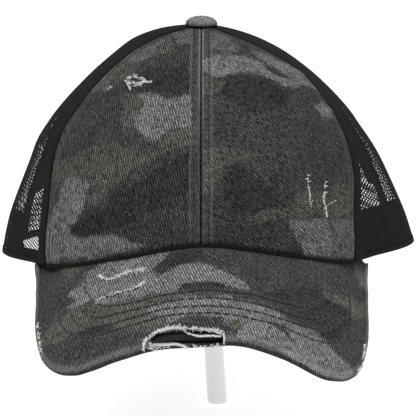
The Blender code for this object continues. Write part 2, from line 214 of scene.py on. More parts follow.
def hermite(knots, values, x):
    """Smooth curve through (knots, values), read at an array of x."""
    knots, values = np.asarray(knots, float), np.asarray(values, float)
    slopes = np.empty_like(values)
    slopes[1:-1] = (values[2:] - values[:-2]) / (knots[2:] - knots[:-2])
    slopes[0] = (values[1] - values[0]) / (knots[1] - knots[0])
    slopes[-1] = (values[-1] - values[-2]) / (knots[-1] - knots[-2])
    x = np.clip(x, knots[0], knots[-1])
    i = np.clip(np.searchsorted(knots, x, side="left") - 1, 0, len(knots) - 2)
    span = knots[i + 1] - knots[i]
    t = (x - knots[i]) / span
    rise = values[i + 1] - values[i]
    start, end = slopes[i] * span, slopes[i + 1] * span
    return values[i] + t * (start + t * (3 * rise - 2 * start - end + t * (start + end - 2 * rise)))


def ease(t):
    t = np.clip(t, 0.0, 1.0)
    return t * t * (3 - 2 * t)


def bell(distance, width):
    return np.exp(-((distance / width) ** 2))


def climb_knots():
    lengths = [0.0]
    for low, high in zip(CROWN_SECTIONS, CROWN_SECTIONS[1:]):
        run = (high.left - low.left) * HALF_WIDTH
        rise = (high.height - low.height) * CROWN_HEIGHT
        lengths.append(lengths[-1] + math.hypot(run, rise))
    return lengths


CLIMB_LENGTH = climb_knots()[-1]
CLIMBS = [length / CLIMB_LENGTH for length in climb_knots()]
CLIMBS.append(2 - CLIMBS[-2])
SECTIONS_OVER_TOP = (
    *CROWN_SECTIONS,
    Section(CROWN_SECTIONS[-2].height, *(-share for share in CROWN_SECTIONS[-2][1:])),
)
FINE_CLIMBS = np.linspace(0, 1, 2001)


def section_share(column, climb):
    return hermite(CLIMBS, [getattr(row, column) for row in SECTIONS_OVER_TOP], climb)


FINE_HEIGHTS = np.maximum.accumulate(section_share("height", FINE_CLIMBS) * CROWN_HEIGHT)
FINE_RADII = section_share("left", FINE_CLIMBS) * HALF_WIDTH


def climb_at(height):
    return np.interp(height, FINE_HEIGHTS, FINE_CLIMBS)


def climb_at_radius(radius):
    return np.interp(-radius, -FINE_RADII[1000:], FINE_CLIMBS[1000:])


def rim_lift(angle):
    return hermite([row.angle for row in RIM_LIFTS], [row.lift for row in RIM_LIFTS], angle)


def rim_climb(angle):
    return climb_at(rim_lift(angle))


def crown_surface(angle, climb):
    """Points of the crown's outer surface, as an array of rows x, y, z."""
    angle, climb = np.broadcast_arrays(np.asarray(angle, float), np.asarray(climb, float))
    turn = np.radians(angle)
    beside = np.where(angle > 0, section_share("right", climb), section_share("left", climb))
    half_width = beside * HALF_WIDTH
    in_front = np.abs((angle + 180) % 360 - 180) < 90
    front = section_share("front", climb) * FRONT_REACH
    back = section_share("back", climb) * BACK_REACH
    reach = np.where(in_front, front, back)
    power = np.where(in_front, 2.0, BACK_FULLNESS)
    sideways = np.abs(np.sin(turn)) / np.maximum(half_width, 1e-6)
    lengthways = np.abs(np.cos(turn)) / np.maximum(reach, 1e-6)
    radius = (sideways**power + lengthways**power) ** (-1 / power)
    swing = np.abs((angle + 180) % 360 - 180) - FLARE_ANGLE
    swing = np.clip(swing / np.where(swing < 0, FLARE_SPREAD, FLARE_SPREAD_BEHIND), -1, 1)
    fade = np.clip(1 - section_share("height", climb) / FLARE_TOP, 0, 1) ** 1.2
    amount = np.where(np.sin(turn) > 0, RIGHT_FLARE, LEFT_FLARE)
    radius = radius + amount * fade * (1 + np.cos(np.pi * swing)) / 2
    height = RIM_HEIGHT + section_share("height", climb) * CROWN_HEIGHT
    return np.stack((CROWN_X + radius * np.sin(turn), -radius * np.cos(turn), height), axis=-1)


def unit(vectors):
    return vectors / np.maximum(np.linalg.norm(vectors, axis=-1, keepdims=True), 1e-12)


def crown_normal(angle, climb):
    climb = np.minimum(climb, 0.985)
    around = crown_surface(angle + 0.5, climb) - crown_surface(angle - 0.5, climb)
    below = crown_surface(angle, np.maximum(climb - 0.005, 0))
    upward = crown_surface(angle, climb + 0.005) - below
    return unit(np.cross(around, upward))


def crown_point(angle, climb, inset=0.0):
    """Points this far inside the crown's outer surface."""
    return crown_surface(angle, climb) - crown_normal(angle, climb) * np.asarray(inset)[..., None]


def crown_radius(angle, climb):
    points = crown_surface(angle, climb)
    return np.hypot(points[..., 0] - CROWN_X, points[..., 1])


def front_seam(side, climb):
    column = "right" if side > 0 else "left"
    knots = [row.height for row in FRONT_SEAMS]
    angles = [getattr(row, column) for row in FRONT_SEAMS]
    return side * hermite(knots, angles, section_share("height", climb))


def back_seam(side, climb):
    return np.full_like(climb, side * BACK_SEAM)


def back_middle(side, climb):
    return np.full_like(climb, side * 180.0)


def opening_half_angle(climb, margin=0.0):
    height = section_share("height", climb) * CROWN_HEIGHT
    top = OPENING_HEIGHT + margin
    half_width = (OPENING_HALF_WIDTH + margin) * np.sqrt(np.clip(1 - (height / top) ** 2.6, 0, 1))
    return np.degrees(np.arctan2(half_width, section_share("back", climb) * BACK_REACH))


def opening_edge(side, climb):
    """Where the net ends under the binding, and the middle of the back above the opening."""
    height = section_share("height", climb) * CROWN_HEIGHT
    edge = 180 - opening_half_angle(climb, 0.6 * BINDING_WIDTH)
    return side * np.where(height > OPENING_HEIGHT + BINDING_WIDTH, 180.0, edge)


def peak_seam(across):
    angle = across * PEAK_TIP_ANGLE
    tuck = TIP_TUCK * ease((np.abs(across) - TIP_START) / (1 - TIP_START))
    points = crown_point(angle, rim_climb(angle), TWILL + tuck)
    points[..., 2] -= LINING_GAP
    return points


def peak_edge(across):
    across = np.clip(across, -1, 1)
    knots = [row.across for row in PEAK_EDGES]
    shares = {
        column: hermite(knots, [getattr(row, column) for row in PEAK_EDGES], np.abs(across))
        for column in ("sideways", "forward", "drop", "right_drop")
    }
    half_width = HALF_WIDTH * np.where(across > 0, 1.01, 1.0)
    drop = shares["drop"] + np.where(across > 0, shares["right_drop"], 0)
    return np.stack((
        CROWN_X + np.sign(across) * shares["sideways"] * half_width,
        -shares["forward"] * (FRONT_REACH + PEAK_LENGTH),
        RIM_HEIGHT + rim_lift(0.0) - drop * PEAK_DROP,
    ), axis=-1)


def peak_outward(across):
    along = peak_edge(across + 0.01) - peak_edge(across - 0.01)
    upward = np.cross(along, peak_seam(across) - peak_edge(across))
    return unit(np.cross(along, upward))


def peak_top(across, forward, trim):
    end = peak_edge(across) - peak_outward(across) * trim
    forward = np.asarray(forward)[..., None]
    bulge = 4 * forward * (1 - forward) * PEAK_BULGE
    return peak_seam(across) * (1 - forward) + end * forward + bulge * np.array((0, 0, 1.0))


def peak_normal(across, forward, trim):
    ahead = peak_top(across, forward + 0.02, trim) - peak_top(across, forward - 0.02, trim)
    beside = peak_top(across + 0.01, forward, trim) - peak_top(across - 0.01, forward, trim)
    return unit(np.cross(ahead, beside))


# The photograph's pixels


def view_axes():
    pitch = math.radians(VIEW_PITCH)
    forward = Vector((0, math.cos(pitch), -math.sin(pitch)))
    upward = Vector((0, math.sin(pitch), math.cos(pitch)))
    return forward, upward


def to_pixels(points):
    """Where points fall in the photograph."""
    forward, upward = (np.array(axis) for axis in view_axes())
    offset = np.asarray(points) - np.array(VIEW_TARGET)
    depth = VIEW_DISTANCE + offset @ forward
    scale = FRAME_PIXELS / VIEW_WIDTH * VIEW_DISTANCE / depth
    half = FRAME_PIXELS / 2
    return half + offset[..., 0] * scale, half - (offset @ upward) * scale


def pixel_ray(x, y):
    """The camera's place, and the direction through a pixel of the photograph."""
    forward, upward = view_axes()
    start = VIEW_TARGET - forward * VIEW_DISTANCE
    half = FRAME_PIXELS / 2
    step = VIEW_WIDTH / FRAME_PIXELS
    sideways = Vector((1, 0, 0)) * (x - half) * step
    aim = forward * VIEW_DISTANCE + sideways + upward * (half - y) * step
    return start, aim.normalized()


# Making pieces


def finish_piece(name, body, look, smooth=True):
    """Turns a bmesh into a piece that rides with the cap."""
    mesh = bpy.data.meshes.new(name)
    body.to_mesh(mesh)
    body.free()
    if smooth:
        mesh.shade_smooth()
    mesh.materials.append(look)
    piece = bpy.data.objects.new(name, mesh)
    bpy.context.scene.collection.objects.link(piece)
    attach(piece, "root")
    return piece


def thicken(piece, thickness):
    wall = piece.modifiers.new("Wall", "SOLIDIFY")
    wall.thickness = thickness
    wall.offset = -1
    wall.use_even_offset = True
    return piece


def flat_grid(columns, rows):
    """A bmesh grid, with its u and v from 0 to 1 as arrays."""
    body = bmesh.new()
    bmesh.ops.create_grid(body, x_segments=columns, y_segments=rows, size=0.5)
    u = np.array([corner.co.x for corner in body.verts]) + 0.5
    v = np.array([corner.co.y for corner in body.verts]) + 0.5
    return body, u, v


def move_to(body, points):
    for corner, point in zip(body.verts, points):
        corner.co = point


def swell(body, heights):
    """Moves each vertex out along its normal."""
    body.normal_update()
    for corner, height in zip(body.verts, heights):
        corner.co += corner.normal * height


def give_uv(body, across, along):
    """Writes the cloth's own flat lengths, in metres, as UV."""
    layer = body.loops.layers.uv.new("cloth")
    for face in body.faces:
        for loop in face.loops:
            loop[layer].uv = (across[loop.vert.index], along[loop.vert.index])


def give_values(body, name, values):
    layer = body.verts.layers.float.new(name)
    for corner, value in zip(body.verts, values):
        corner[layer] = float(value)


def surface_of(piece):
    body = bmesh.new()
    body.from_mesh(piece.data)
    tree = BVHTree.FromBMesh(body)
    body.free()
    return tree


def soft_noise(points, size, seed=0.0):
    """Smooth noise from -1 to 1 at points, with bumps of about this size."""
    shift = Vector((seed, seed, seed))
    return np.array([noise.noise(Vector(point) / size + shift) for point in points])


# Camouflage, charted in the photograph's pixels

Patch = namedtuple("Patch", "shade outline")
CAMO_PATCHES = (
    # left front panel
    Patch("soft", (
        (87, 82), (111, 66), (133, 53), (154, 42), (170, 37), (175, 45), (157, 53), (138, 64),
        (127, 77), (111, 88), (93, 93),
    )),
    Patch("soft", ((170, 29), (191, 31), (191, 43), (178, 44))),
    Patch("olive", ((106, 80), (114, 66), (127, 61), (135, 64), (133, 74), (125, 82), (114, 85))),
    Patch("olive", ((157, 46), (175, 44), (176, 52), (160, 54))),
    Patch("dark", (
        (140, 74), (160, 66), (190, 66), (190, 90), (178, 95), (164, 95), (150, 90), (136, 90),
    )),
    Patch("pale", (
        (134, 94), (149, 92), (157, 96), (165, 99), (183, 97), (190, 93), (192, 106), (192, 125),
        (183, 127), (170, 130), (162, 135), (157, 142), (149, 141), (141, 135), (134, 127),
        (135, 117), (141, 109), (143, 102),
    )),
    Patch("olive", (
        (122, 93), (134, 93), (143, 101), (141, 108), (135, 117), (134, 127), (138, 133),
        (130, 134), (122, 131), (121, 119), (121, 106),
    )),
    Patch("olive", (
        (192, 125), (202, 127), (202, 133), (196, 141), (186, 145), (172, 149), (159, 154),
        (143, 165), (130, 172), (117, 183), (106, 196), (98, 204), (88, 206), (88, 186), (82, 178),
        (74, 176), (64, 180), (57, 186), (50, 176), (54, 162), (69, 157), (80, 154), (90, 146),
        (106, 145), (119, 145), (130, 149), (135, 156), (146, 154), (157, 149), (159, 141),
        (170, 133), (183, 127),
    )),
    Patch("pale", (
        (64, 180), (74, 176), (85, 178), (89, 186), (86, 196), (82, 210), (77, 220), (72, 226),
        (70, 233), (77, 239), (90, 237), (103, 235), (117, 236), (127, 240), (138, 243),
        (146, 243), (143, 247), (106, 255), (80, 266), (53, 268), (42, 266), (44, 239), (50, 218),
        (57, 202), (60, 188),
    )),
    Patch("dark", (
        (70, 226), (77, 222), (88, 215), (101, 210), (114, 199), (133, 186), (149, 175),
        (164, 164), (180, 157), (196, 154), (202, 170), (196, 183), (183, 194), (170, 202),
        (159, 210), (138, 220), (119, 228), (101, 233), (85, 237), (74, 237), (70, 233),
    )),
    # right front panel
    Patch("soft", ((213, 33), (226, 35), (233, 40), (240, 49), (231, 53), (218, 52), (212, 48))),
    Patch("pale", (
        (203, 62), (212, 56), (228, 55), (252, 58), (262, 64), (274, 73), (294, 78), (318, 87),
        (306, 88), (286, 87), (276, 82), (263, 76), (250, 73), (234, 74), (218, 77), (204, 72),
    )),
    Patch("pale", (
        (252, 50), (268, 55), (284, 62), (300, 72), (314, 84), (320, 92), (310, 88), (296, 79),
        (282, 71), (268, 64), (256, 58),
    )),
    Patch("dark", ((266, 66), (280, 70), (292, 77), (284, 76), (270, 71))),
    Patch("dark", (
        (218, 78), (234, 76), (250, 76), (263, 80), (276, 86), (292, 92), (284, 106), (258, 112),
        (234, 106), (220, 92),
    )),
    Patch("pale", ((315, 103), (322, 102), (329, 109), (332, 119), (325, 117), (318, 111))),
    Patch("olive", (
        (203, 148), (212, 148), (226, 147), (239, 149), (252, 150), (256, 156), (247, 159),
        (236, 161), (228, 166), (220, 175), (215, 182), (212, 196), (206, 200), (203, 190),
    )),
    Patch("olive", ((203, 82), (214, 81), (226, 84), (222, 88), (212, 94), (203, 96))),
    Patch("olive", (
        (300, 194), (313, 191), (329, 190), (330, 186), (358, 183), (358, 212), (345, 215),
        (329, 218), (313, 216), (294, 218), (279, 219), (257, 222), (249, 219), (260, 212),
        (276, 210), (289, 207), (297, 202),
    )),
    Patch("pale", (
        (289, 220), (300, 219), (326, 219), (330, 226), (332, 239), (332, 258), (308, 261),
        (302, 247), (294, 236), (290, 226),
    )),
    Patch("soft", ((332, 219), (358, 218), (358, 262), (333, 259), (334, 238))),
    Patch("dark", (
        (226, 170), (236, 164), (249, 172), (268, 186), (281, 202), (265, 210), (249, 212),
        (233, 212), (226, 202), (223, 186),
    )),
    # peak
    Patch("olive", ((60, 258), (86, 258), (82, 272), (70, 278), (56, 270))),
    Patch("pale", (
        (69, 298), (71, 289), (82, 282), (88, 274), (101, 262), (117, 258), (134, 256), (151, 253),
        (173, 250), (160, 263), (151, 271), (160, 274), (173, 269), (186, 264), (199, 263),
        (212, 265), (225, 272), (238, 278), (249, 285), (250, 290), (238, 291), (221, 285),
        (203, 281), (188, 282), (180, 286), (177, 291), (160, 293), (143, 297), (125, 300),
        (112, 304), (97, 303), (93, 300), (82, 304), (71, 310), (67, 307), (78, 300),
    )),
    Patch("dark", (
        (177, 291), (188, 282), (203, 281), (221, 284), (238, 290), (247, 292), (225, 290),
        (195, 291),
    )),
    Patch("dark", (
        (164, 258), (178, 252), (200, 248), (204, 258), (186, 262), (172, 267), (160, 272),
        (154, 268),
    )),
    Patch("pale", (
        (143, 310), (156, 304), (182, 298), (203, 295), (229, 297), (247, 301), (264, 306),
        (279, 315), (294, 324), (312, 332), (329, 345), (342, 358), (353, 371), (344, 380),
        (329, 380), (312, 371), (299, 363), (286, 354), (273, 345), (258, 341), (238, 337),
        (238, 328), (225, 324), (223, 317), (199, 315), (182, 317), (169, 324), (164, 318),
        (151, 315),
    )),
    # Painted shadow: this thin dark streak stands for the shade of a fold.
    Patch("dark", ((266, 315), (286, 328), (299, 350), (292, 341), (275, 324))),
    Patch("olive", (
        (41, 337), (52, 326), (62, 317), (80, 306), (93, 303), (112, 304), (125, 300), (151, 297),
        (182, 292), (195, 294), (182, 298), (164, 300), (151, 303), (143, 310), (151, 315),
        (164, 318), (171, 325), (160, 330), (151, 331), (132, 332), (121, 330), (112, 325),
        (101, 324), (93, 328), (73, 332), (58, 343), (34, 347), (34, 343),
    )),
    Patch("dark", ((90, 328), (102, 325), (112, 326), (111, 332), (96, 335), (80, 337), (76, 333))),
    Patch("olive", ((227, 321), (238, 320), (245, 325), (242, 330), (234, 330), (229, 327))),
    Patch("dark", (
        (277, 289), (301, 287), (320, 293), (329, 300), (346, 306), (353, 321), (349, 337),
        (333, 341), (316, 334), (301, 326), (286, 315), (268, 304), (260, 298),
    )),
    Patch("olive", (
        (320, 291), (333, 293), (351, 298), (359, 302), (368, 300), (368, 318), (355, 319),
        (351, 313), (338, 304), (327, 300),
    )),
    Patch("soft", ((353, 260), (370, 260), (370, 292), (360, 287), (354, 275))),
)
SHADES = ("pale", "soft", "olive", "dark")
PATCH_EDGE = 1.5
PATCH_WARP = 2.6


def segment_distance(x, y, start, end):
    (ax, ay), (bx, by) = start, end
    dx, dy = bx - ax, by - ay
    share = np.clip(((x - ax) * dx + (y - ay) * dy) / (dx * dx + dy * dy), 0, 1)
    return np.hypot(x - ax - share * dx, y - ay - share * dy)


def outline_distance(x, y, outline):
    """Distance from points to an outline, negative inside it."""
    corners = np.array(outline, float)
    ends = np.roll(corners, -1, axis=0)
    inside = np.zeros(x.shape, bool)
    nearest = np.full(x.shape, 1e9)
    for (ax, ay), (bx, by) in zip(corners, ends):
        nearest = np.minimum(nearest, segment_distance(x, y, (ax, ay), (bx, by)))
        meets = ax + (y - ay) * (bx - ax) / ((by - ay) or 1e-9)
        inside ^= ((ay > y) != (by > y)) & (x < meets)
    return np.where(inside, -nearest, nearest)


def camo_weights(x, y, seeds):
    """How strongly each shade shows at points of the photograph."""
    warp_x, warp_y = seeds
    x, y = x + PATCH_WARP * warp_x, y + PATCH_WARP * warp_y
    weights = {shade: np.zeros(x.shape) for shade in SHADES}
    for patch in CAMO_PATCHES:
        cover = ease(0.5 - outline_distance(x, y, patch.outline) / (2 * PATCH_EDGE))
        for shade in weights:
            weights[shade] *= 1 - cover
        weights[patch.shade] += cover
    return weights


def paint_camo(body, x, y):
    places = [corner.co.copy() for corner in body.verts]
    seeds = (
        soft_noise(places, 0.007, 3.1) + 0.5 * soft_noise(places, 0.0022, 1.4),
        soft_noise(places, 0.007, 7.7) + 0.5 * soft_noise(places, 0.0022, 5.2),
    )
    for shade, weights in camo_weights(x, y, seeds).items():
        give_values(body, shade, weights)


# Materials


class Socket:
    """A shader value that Python's operators work on."""

    def __init__(self, tree, link):
        self.tree, self.link = tree, link

    def combine(self, operation, *others):
        maths = self.tree.nodes.new("ShaderNodeMath")
        maths.operation = operation
        for slot, value in zip(maths.inputs, (self, *others)):
            if isinstance(value, Socket):
                self.tree.links.new(value.link, slot)
            else:
                slot.default_value = value
        return Socket(self.tree, maths.outputs[0])

    def __add__(self, other):
        return self.combine("ADD", other)

    def __mul__(self, other):
        return self.combine("MULTIPLY", other)

    def __sub__(self, other):
        return self.combine("SUBTRACT", other)

    def __rsub__(self, other):
        return self * -1 + other

    __radd__, __rmul__ = __add__, __mul__

    def clamp(self, low=0.0, high=1.0):
        return self.combine("MAXIMUM", low).combine("MINIMUM", high)


def socket_names(values):
    """Values under the names that a shader's sockets have."""
    return {name.replace("_", " ").title(): value for name, value in values.items()}


class Finish:
    """A material with one Principled shader, and the nodes that feed it."""

    def __init__(self, name, **settings):
        self.material = bpy.data.materials.new(name)
        self.material.use_nodes = True
        self.tree = self.material.node_tree
        self.shader = self.tree.nodes["Principled BSDF"]
        self.set(self.shader, socket_names(settings))

    def set(self, node, values):
        for name, value in values.items():
            slot = node.inputs[name]
            if isinstance(value, Socket):
                self.tree.links.new(value.link, slot)
            elif slot.type == "RGBA" and len(value) == 3:
                slot.default_value = (*value, 1)
            else:
                slot.default_value = value

    def node(self, kind, output=0, settings=None, **inputs):
        made = self.tree.nodes.new(kind)
        for name, value in (settings or {}).items():
            setattr(made, name, value)
        self.set(made, socket_names(inputs))
        return Socket(self.tree, made.outputs[output])

    def coordinates(self, kind="Object"):
        return self.node("ShaderNodeTexCoord", output=kind)

    def noise(self, size, detail=2.0, where=None, roughness=0.55):
        """Noise from 0 to 1 whose grains are about this size."""
        where = where or self.coordinates()
        return self.node(
            "ShaderNodeTexNoise", vector=where, scale=1 / size, detail=detail, roughness=roughness,
        )

    def attribute(self, name):
        return self.node("ShaderNodeAttribute", output="Fac", settings={"attribute_name": name})

    def mix(self, share, low, high, blend="MIX"):
        """A colour between two colours."""
        made = self.tree.nodes.new("ShaderNodeMix")
        made.data_type, made.blend_type = "RGBA", blend
        slots = made.inputs[0], made.inputs[6], made.inputs[7]
        for slot, value in zip(slots, (share, low, high)):
            if isinstance(value, Socket):
                self.tree.links.new(value.link, slot)
            else:
                slot.default_value = (*value, 1) if isinstance(value, tuple) else value
        return Socket(self.tree, made.outputs[2])

    def bump(self, height, distance, strength=1.0):
        made = self.node("ShaderNodeBump", height=height, distance=distance, strength=strength)
        self.set(self.shader, {"Normal": made})


CAMO_MID = (0.037, 0.037, 0.0395)
CAMO_DARK = (0.024, 0.024, 0.026)
CAMO_SOFT = (0.080, 0.079, 0.082)
CAMO_PALE = (0.112, 0.110, 0.117)
CAMO_OLIVE = (0.060, 0.058, 0.049)
WORN_COTTON = (0.42, 0.42, 0.42)
CREASE_SHADE = (0.004, 0.004, 0.005)


def camo_twill(name, lean, pitch, fade=1.0):
    """Washed camouflage twill.

    lean is the diagonal's angle from level, and fade is what every dye is multiplied by;
    above 1 it is painted light, a brighter copy of the cloth for faces lit from above.
    Creases, seams and undersides get painted shade, mixed in toward CREASE_SHADE.
    """
    look = Finish(name, roughness=1.0)
    look.set(look.shader, {"Specular IOR Level": 0.12})
    cloth = look.node("ShaderNodeUVMap", settings={"uv_map": "cloth"})
    parts = look.node("ShaderNodeSeparateXYZ", vector=cloth).link.node.outputs
    across, along = Socket(look.tree, parts[0]), Socket(look.tree, parts[1])
    turn = math.radians(lean)
    apart = across * math.sin(turn) + along * math.cos(turn)
    beside = along * math.sin(turn) - across * math.cos(turn)
    yarns = look.node("ShaderNodeCombineXYZ", x=apart * (1 / 0.0007), y=beside * (1 / 0.0030))
    dashes = look.node("ShaderNodeTexNoise", vector=yarns, scale=1.0, detail=1.0)
    wander = look.noise(0.005, detail=1.0) * 1.4
    ridge = (apart * (math.tau / pitch) + wander).combine("SINE") * 0.5 + 0.5
    line = ridge * (dashes * 2.6 - 0.6).clamp(0.1, 1.6)
    speck = look.noise(0.00062, detail=1.5, roughness=0.8)
    fluff = look.noise(0.0013, detail=3.0, roughness=0.7)
    cloudy = look.noise(0.013, detail=3.0)

    dyes = [
        tuple(channel * fade for channel in dye)
        for dye in (CAMO_MID, CAMO_DARK, CAMO_SOFT, CAMO_PALE, CAMO_OLIVE)
    ]
    colour = look.mix(look.attribute("dark"), dyes[0], dyes[1])
    for shade, dye in zip(("soft", "pale", "olive"), dyes[2:]):
        colour = look.mix(look.attribute(shade), colour, dye)
    light = line * 2.3 + speck * 5.4 + fluff * 2.2 + cloudy * 1.0 - 4.16
    light = light.clamp(0.22, 3.6)
    shade = look.node("ShaderNodeCombineXYZ", x=light, y=light, z=light)
    colour = look.mix(1.0, colour, shade, blend="MULTIPLY")
    fleck = ((look.noise(0.0009, detail=1.0) - 0.70) * 9).clamp()
    wear = (look.attribute("wear") * (speck * 1.6 + line * 0.5) + fleck * 0.5).clamp()
    colour = look.mix(wear, colour, WORN_COTTON)
    # Painted shade: creases, seams, stitch rows and undersides are darkened toward CREASE_SHADE.
    colour = look.mix(look.attribute("painted_shade").clamp(), colour, CREASE_SHADE)
    look.set(look.shader, {"Base Color": colour})
    look.bump(line * 0.6 + speck * 0.6, 0.00012, 0.6)
    return look.material


def black_cloth(name, colour, grain):
    look = Finish(name, roughness=0.9)
    look.set(look.shader, {"Specular IOR Level": 0.15})
    weave = look.noise(grain, detail=2.0)
    pale = tuple(2.4 * channel for channel in colour)
    look.set(look.shader, {"Base Color": look.mix(weave, colour, pale)})
    look.bump(weave, 0.0001, 0.6)
    return look.material


def cotton_thread(name, colour, spread=0.25):
    look = Finish(name, roughness=0.9, sheen_weight=0.3)
    fibre = look.noise(0.0007, detail=2.0)
    dull = tuple(channel * (1 - spread) for channel in colour)
    look.set(look.shader, {"Base Color": look.mix(fibre, dull, colour)})
    look.bump(fibre, 0.00008, 0.5)
    return look.material


def lacquer(name, colour, painted_glow):
    # The emission here is painted light: the stand glows so that it stays white in the cap's shade.
    look = Finish(name, roughness=0.38, coat_weight=0.2, emission_strength=painted_glow)
    look.set(look.shader, {"Emission Color": colour})
    peel = look.noise(0.004, detail=1.0)
    look.set(look.shader, {"Base Color": look.mix(peel, tuple(c * 0.97 for c in colour), colour)})
    look.bump(peel, 0.00003, 0.3)
    return look.material


# Crown pieces

TOP_CLIMB = float(climb_at_radius(CROWN_HOLE))

Fold = namedtuple("Fold", "line width height")
FRONT_FOLDS = (
    Fold(((298, 215), (306, 236), (312, 262)), 3.0, 0.0009),
    Fold(((330, 112), (338, 140), (344, 170), (345, 200)), 3.5, 0.0008),
    Fold(((322, 118), (330, 146), (334, 176)), 4.0, -0.0006),
    Fold(((266, 66), (282, 72), (296, 78)), 3.0, -0.0007),
    Fold(((262, 60), (284, 66), (304, 76)), 3.0, 0.0005),
)


def line_distance(x, y, line):
    nearest = np.full(np.shape(x), 1e9)
    for start, end in zip(line, line[1:]):
        nearest = np.minimum(nearest, segment_distance(x, y, start, end))
    return nearest


def front_cloth(side, look, columns=110, rows=170):
    """A front panel, rolled in at its seams, ridged up to the topstitch and folded by the wash."""
    body, u, v = flat_grid(columns, rows)
    share = u if side > 0 else 1 - u
    rough_angle = side * np.abs(front_seam(side, np.zeros_like(u))) * share
    low = rim_climb(rough_angle)
    climb = low + (TOP_CLIMB - low) * v
    seam = front_seam(side, climb)
    radius = crown_radius(seam / 2, climb)
    edge = np.degrees(GAP / 2 / np.maximum(radius, 1e-4))
    inner, outer = side * edge, seam - side * edge
    angle = inner + (outer - inner) * share
    points = crown_point(angle, climb)
    move_to(body, points)

    from_middle = np.radians(np.abs(angle)) * radius
    from_seam = np.radians(np.abs(seam - angle)) * crown_radius(seam, climb)
    from_rim = (climb - low) * CLIMB_LENGTH
    up = climb * CLIMB_LENGTH
    x, y = to_pixels(points)
    height = np.zeros_like(u)
    for distance in (from_middle, from_seam):
        pucker = np.sin(up * math.tau / 0.0062 + 3 * u) * 0.00007
        height -= SEAM_ROLL * bell(distance, 0.0011)
        height += 0.00014 * bell(distance - 0.0022, 0.0013)
        height += (pucker - 0.00020) * bell(distance - TOPSTITCH, 0.0006)
        height += pucker * bell(distance - TOPSTITCH, 0.0035)
    height -= 0.0008 * bell(from_rim, 0.0013)
    height += 0.0007 * soft_noise(points, 0.030, 1.0) + 0.00025 * soft_noise(points, 0.011, 5.0)
    for fold in FRONT_FOLDS:
        height += fold.height * bell(line_distance(x, y, fold.line), fold.width)
    swell(body, height)

    near = np.minimum(from_middle, from_seam)
    wear = 0.03 * bell(near - 0.0026, 0.0012) + 0.15 * bell(near - TOPSTITCH - 0.0009, 0.0005)
    high = ease((climb - 0.45) / 0.25)
    wear += (0.10 + 0.22 * high) * bell(near - 0.0008, 0.0005)
    # Painted shade along the seams, in the topstitch grooves and in the crease at the rim.
    painted_shade = 0.9 * bell(near, 0.0004) + 0.5 * bell(near - TOPSTITCH, 0.0005)
    painted_shade += 0.9 * bell(from_rim, 0.0014)
    give_values(body, "wear", wear)
    give_values(body, "painted_shade", painted_shade)
    paint_camo(body, x, y)
    give_uv(body, side * from_middle, up)
    name = "right" if side > 0 else "left"
    piece = finish_piece(f"front_cloth_{name}", body, look)
    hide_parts(f"front_panel_{name}")
    return piece


def honeycomb(width, height, tilt):
    """A flat honeycomb in rows, as a bmesh of six-sided cells round the origin."""
    reach = math.hypot(width, height)
    columns, rows = int(reach / NET_PITCH * 2), int(reach / NET_ROW)
    body = bmesh.new()
    bmesh.ops.create_grid(body, x_segments=columns, y_segments=rows, size=0.5)
    shift = NET_ROW / 6
    places = {}
    for corner in body.verts:
        i, j = round((corner.co.x + 0.5) * columns), round((corner.co.y + 0.5) * rows)
        places[corner] = (i, j)
        corner.co.x = (i - columns / 2) * NET_PITCH / 2
        corner.co.y = (j - rows / 2) * NET_ROW + (shift if (i + j) % 2 else -shift)
    spare = []
    for edge in body.edges:
        (i, j), (k, m) = places[edge.verts[0]], places[edge.verts[1]]
        if i == k and (i + min(j, m)) % 2 == 0:
            spare.append(edge)
    bmesh.ops.dissolve_edges(body, edges=spare, use_verts=False)
    cosine, sine = math.cos(math.radians(tilt)), math.sin(math.radians(tilt))
    for corner in body.verts:
        x, y = corner.co.x, corner.co.y
        corner.co = (x * cosine - y * sine, x * sine + y * cosine, 0)
    return body


def net_panel(name, node, start, end, tilt, look):
    """A mesh panel of real strands between two seams."""

    def bounds(climb):
        first, last = start(climb), end(climb)
        middle = (first + last) / 2
        radius = crown_radius(middle, climb)
        return middle, radius, np.radians(last - first) / 2 * radius

    width = float(bounds(np.zeros(1))[2][0]) * 1.1
    body = honeycomb(2 * width, CLIMB_LENGTH, tilt)
    centres = np.array([face.calc_center_median() for face in body.faces])
    climb = 0.5 + centres[:, 1] / CLIMB_LENGTH
    middle, radius, half = bounds(np.clip(climb, 0, 1))
    angle = middle + np.degrees(centres[:, 0] / radius)
    lowest = rim_climb(angle) + 1.2 * NET_ROW / CLIMB_LENGTH
    keep = (climb > lowest) & (climb < TOP_CLIMB - 0.004)
    keep &= np.abs(centres[:, 0]) < half - 0.0004
    spare = [face for face, kept in zip(body.faces, keep) if not kept]
    bmesh.ops.delete(body, geom=spare, context="FACES")
    bmesh.ops.wireframe(
        body, faces=body.faces, thickness=NET_STRAND, offset=0.0, use_replace=True,
        use_boundary=True, use_even_offset=True,
    )
    flat = np.array([corner.co for corner in body.verts])
    climb = np.clip(0.5 + flat[:, 1] / CLIMB_LENGTH, 0, TOP_CLIMB)
    middle, radius, half = bounds(climb)
    angle = middle + np.degrees(flat[:, 0] / radius)
    points = crown_point(angle, climb, MESH / 2 - flat[:, 2] * NET_DEPTH)
    move_to(body, points)
    piece = finish_piece(name, body, look, smooth=False)
    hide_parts(node)
    return piece


def border(name, place, columns, rows, thickness, look, node=None):
    """A strip or band of cloth: place(u, v) gives its outer face."""
    body, u, v = flat_grid(columns, rows)
    points = place(u, v)
    move_to(body, points)
    give_uv(body, u, v)
    piece = thicken(finish_piece(name, body, look), thickness)
    if node:
        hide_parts(node)
    return piece


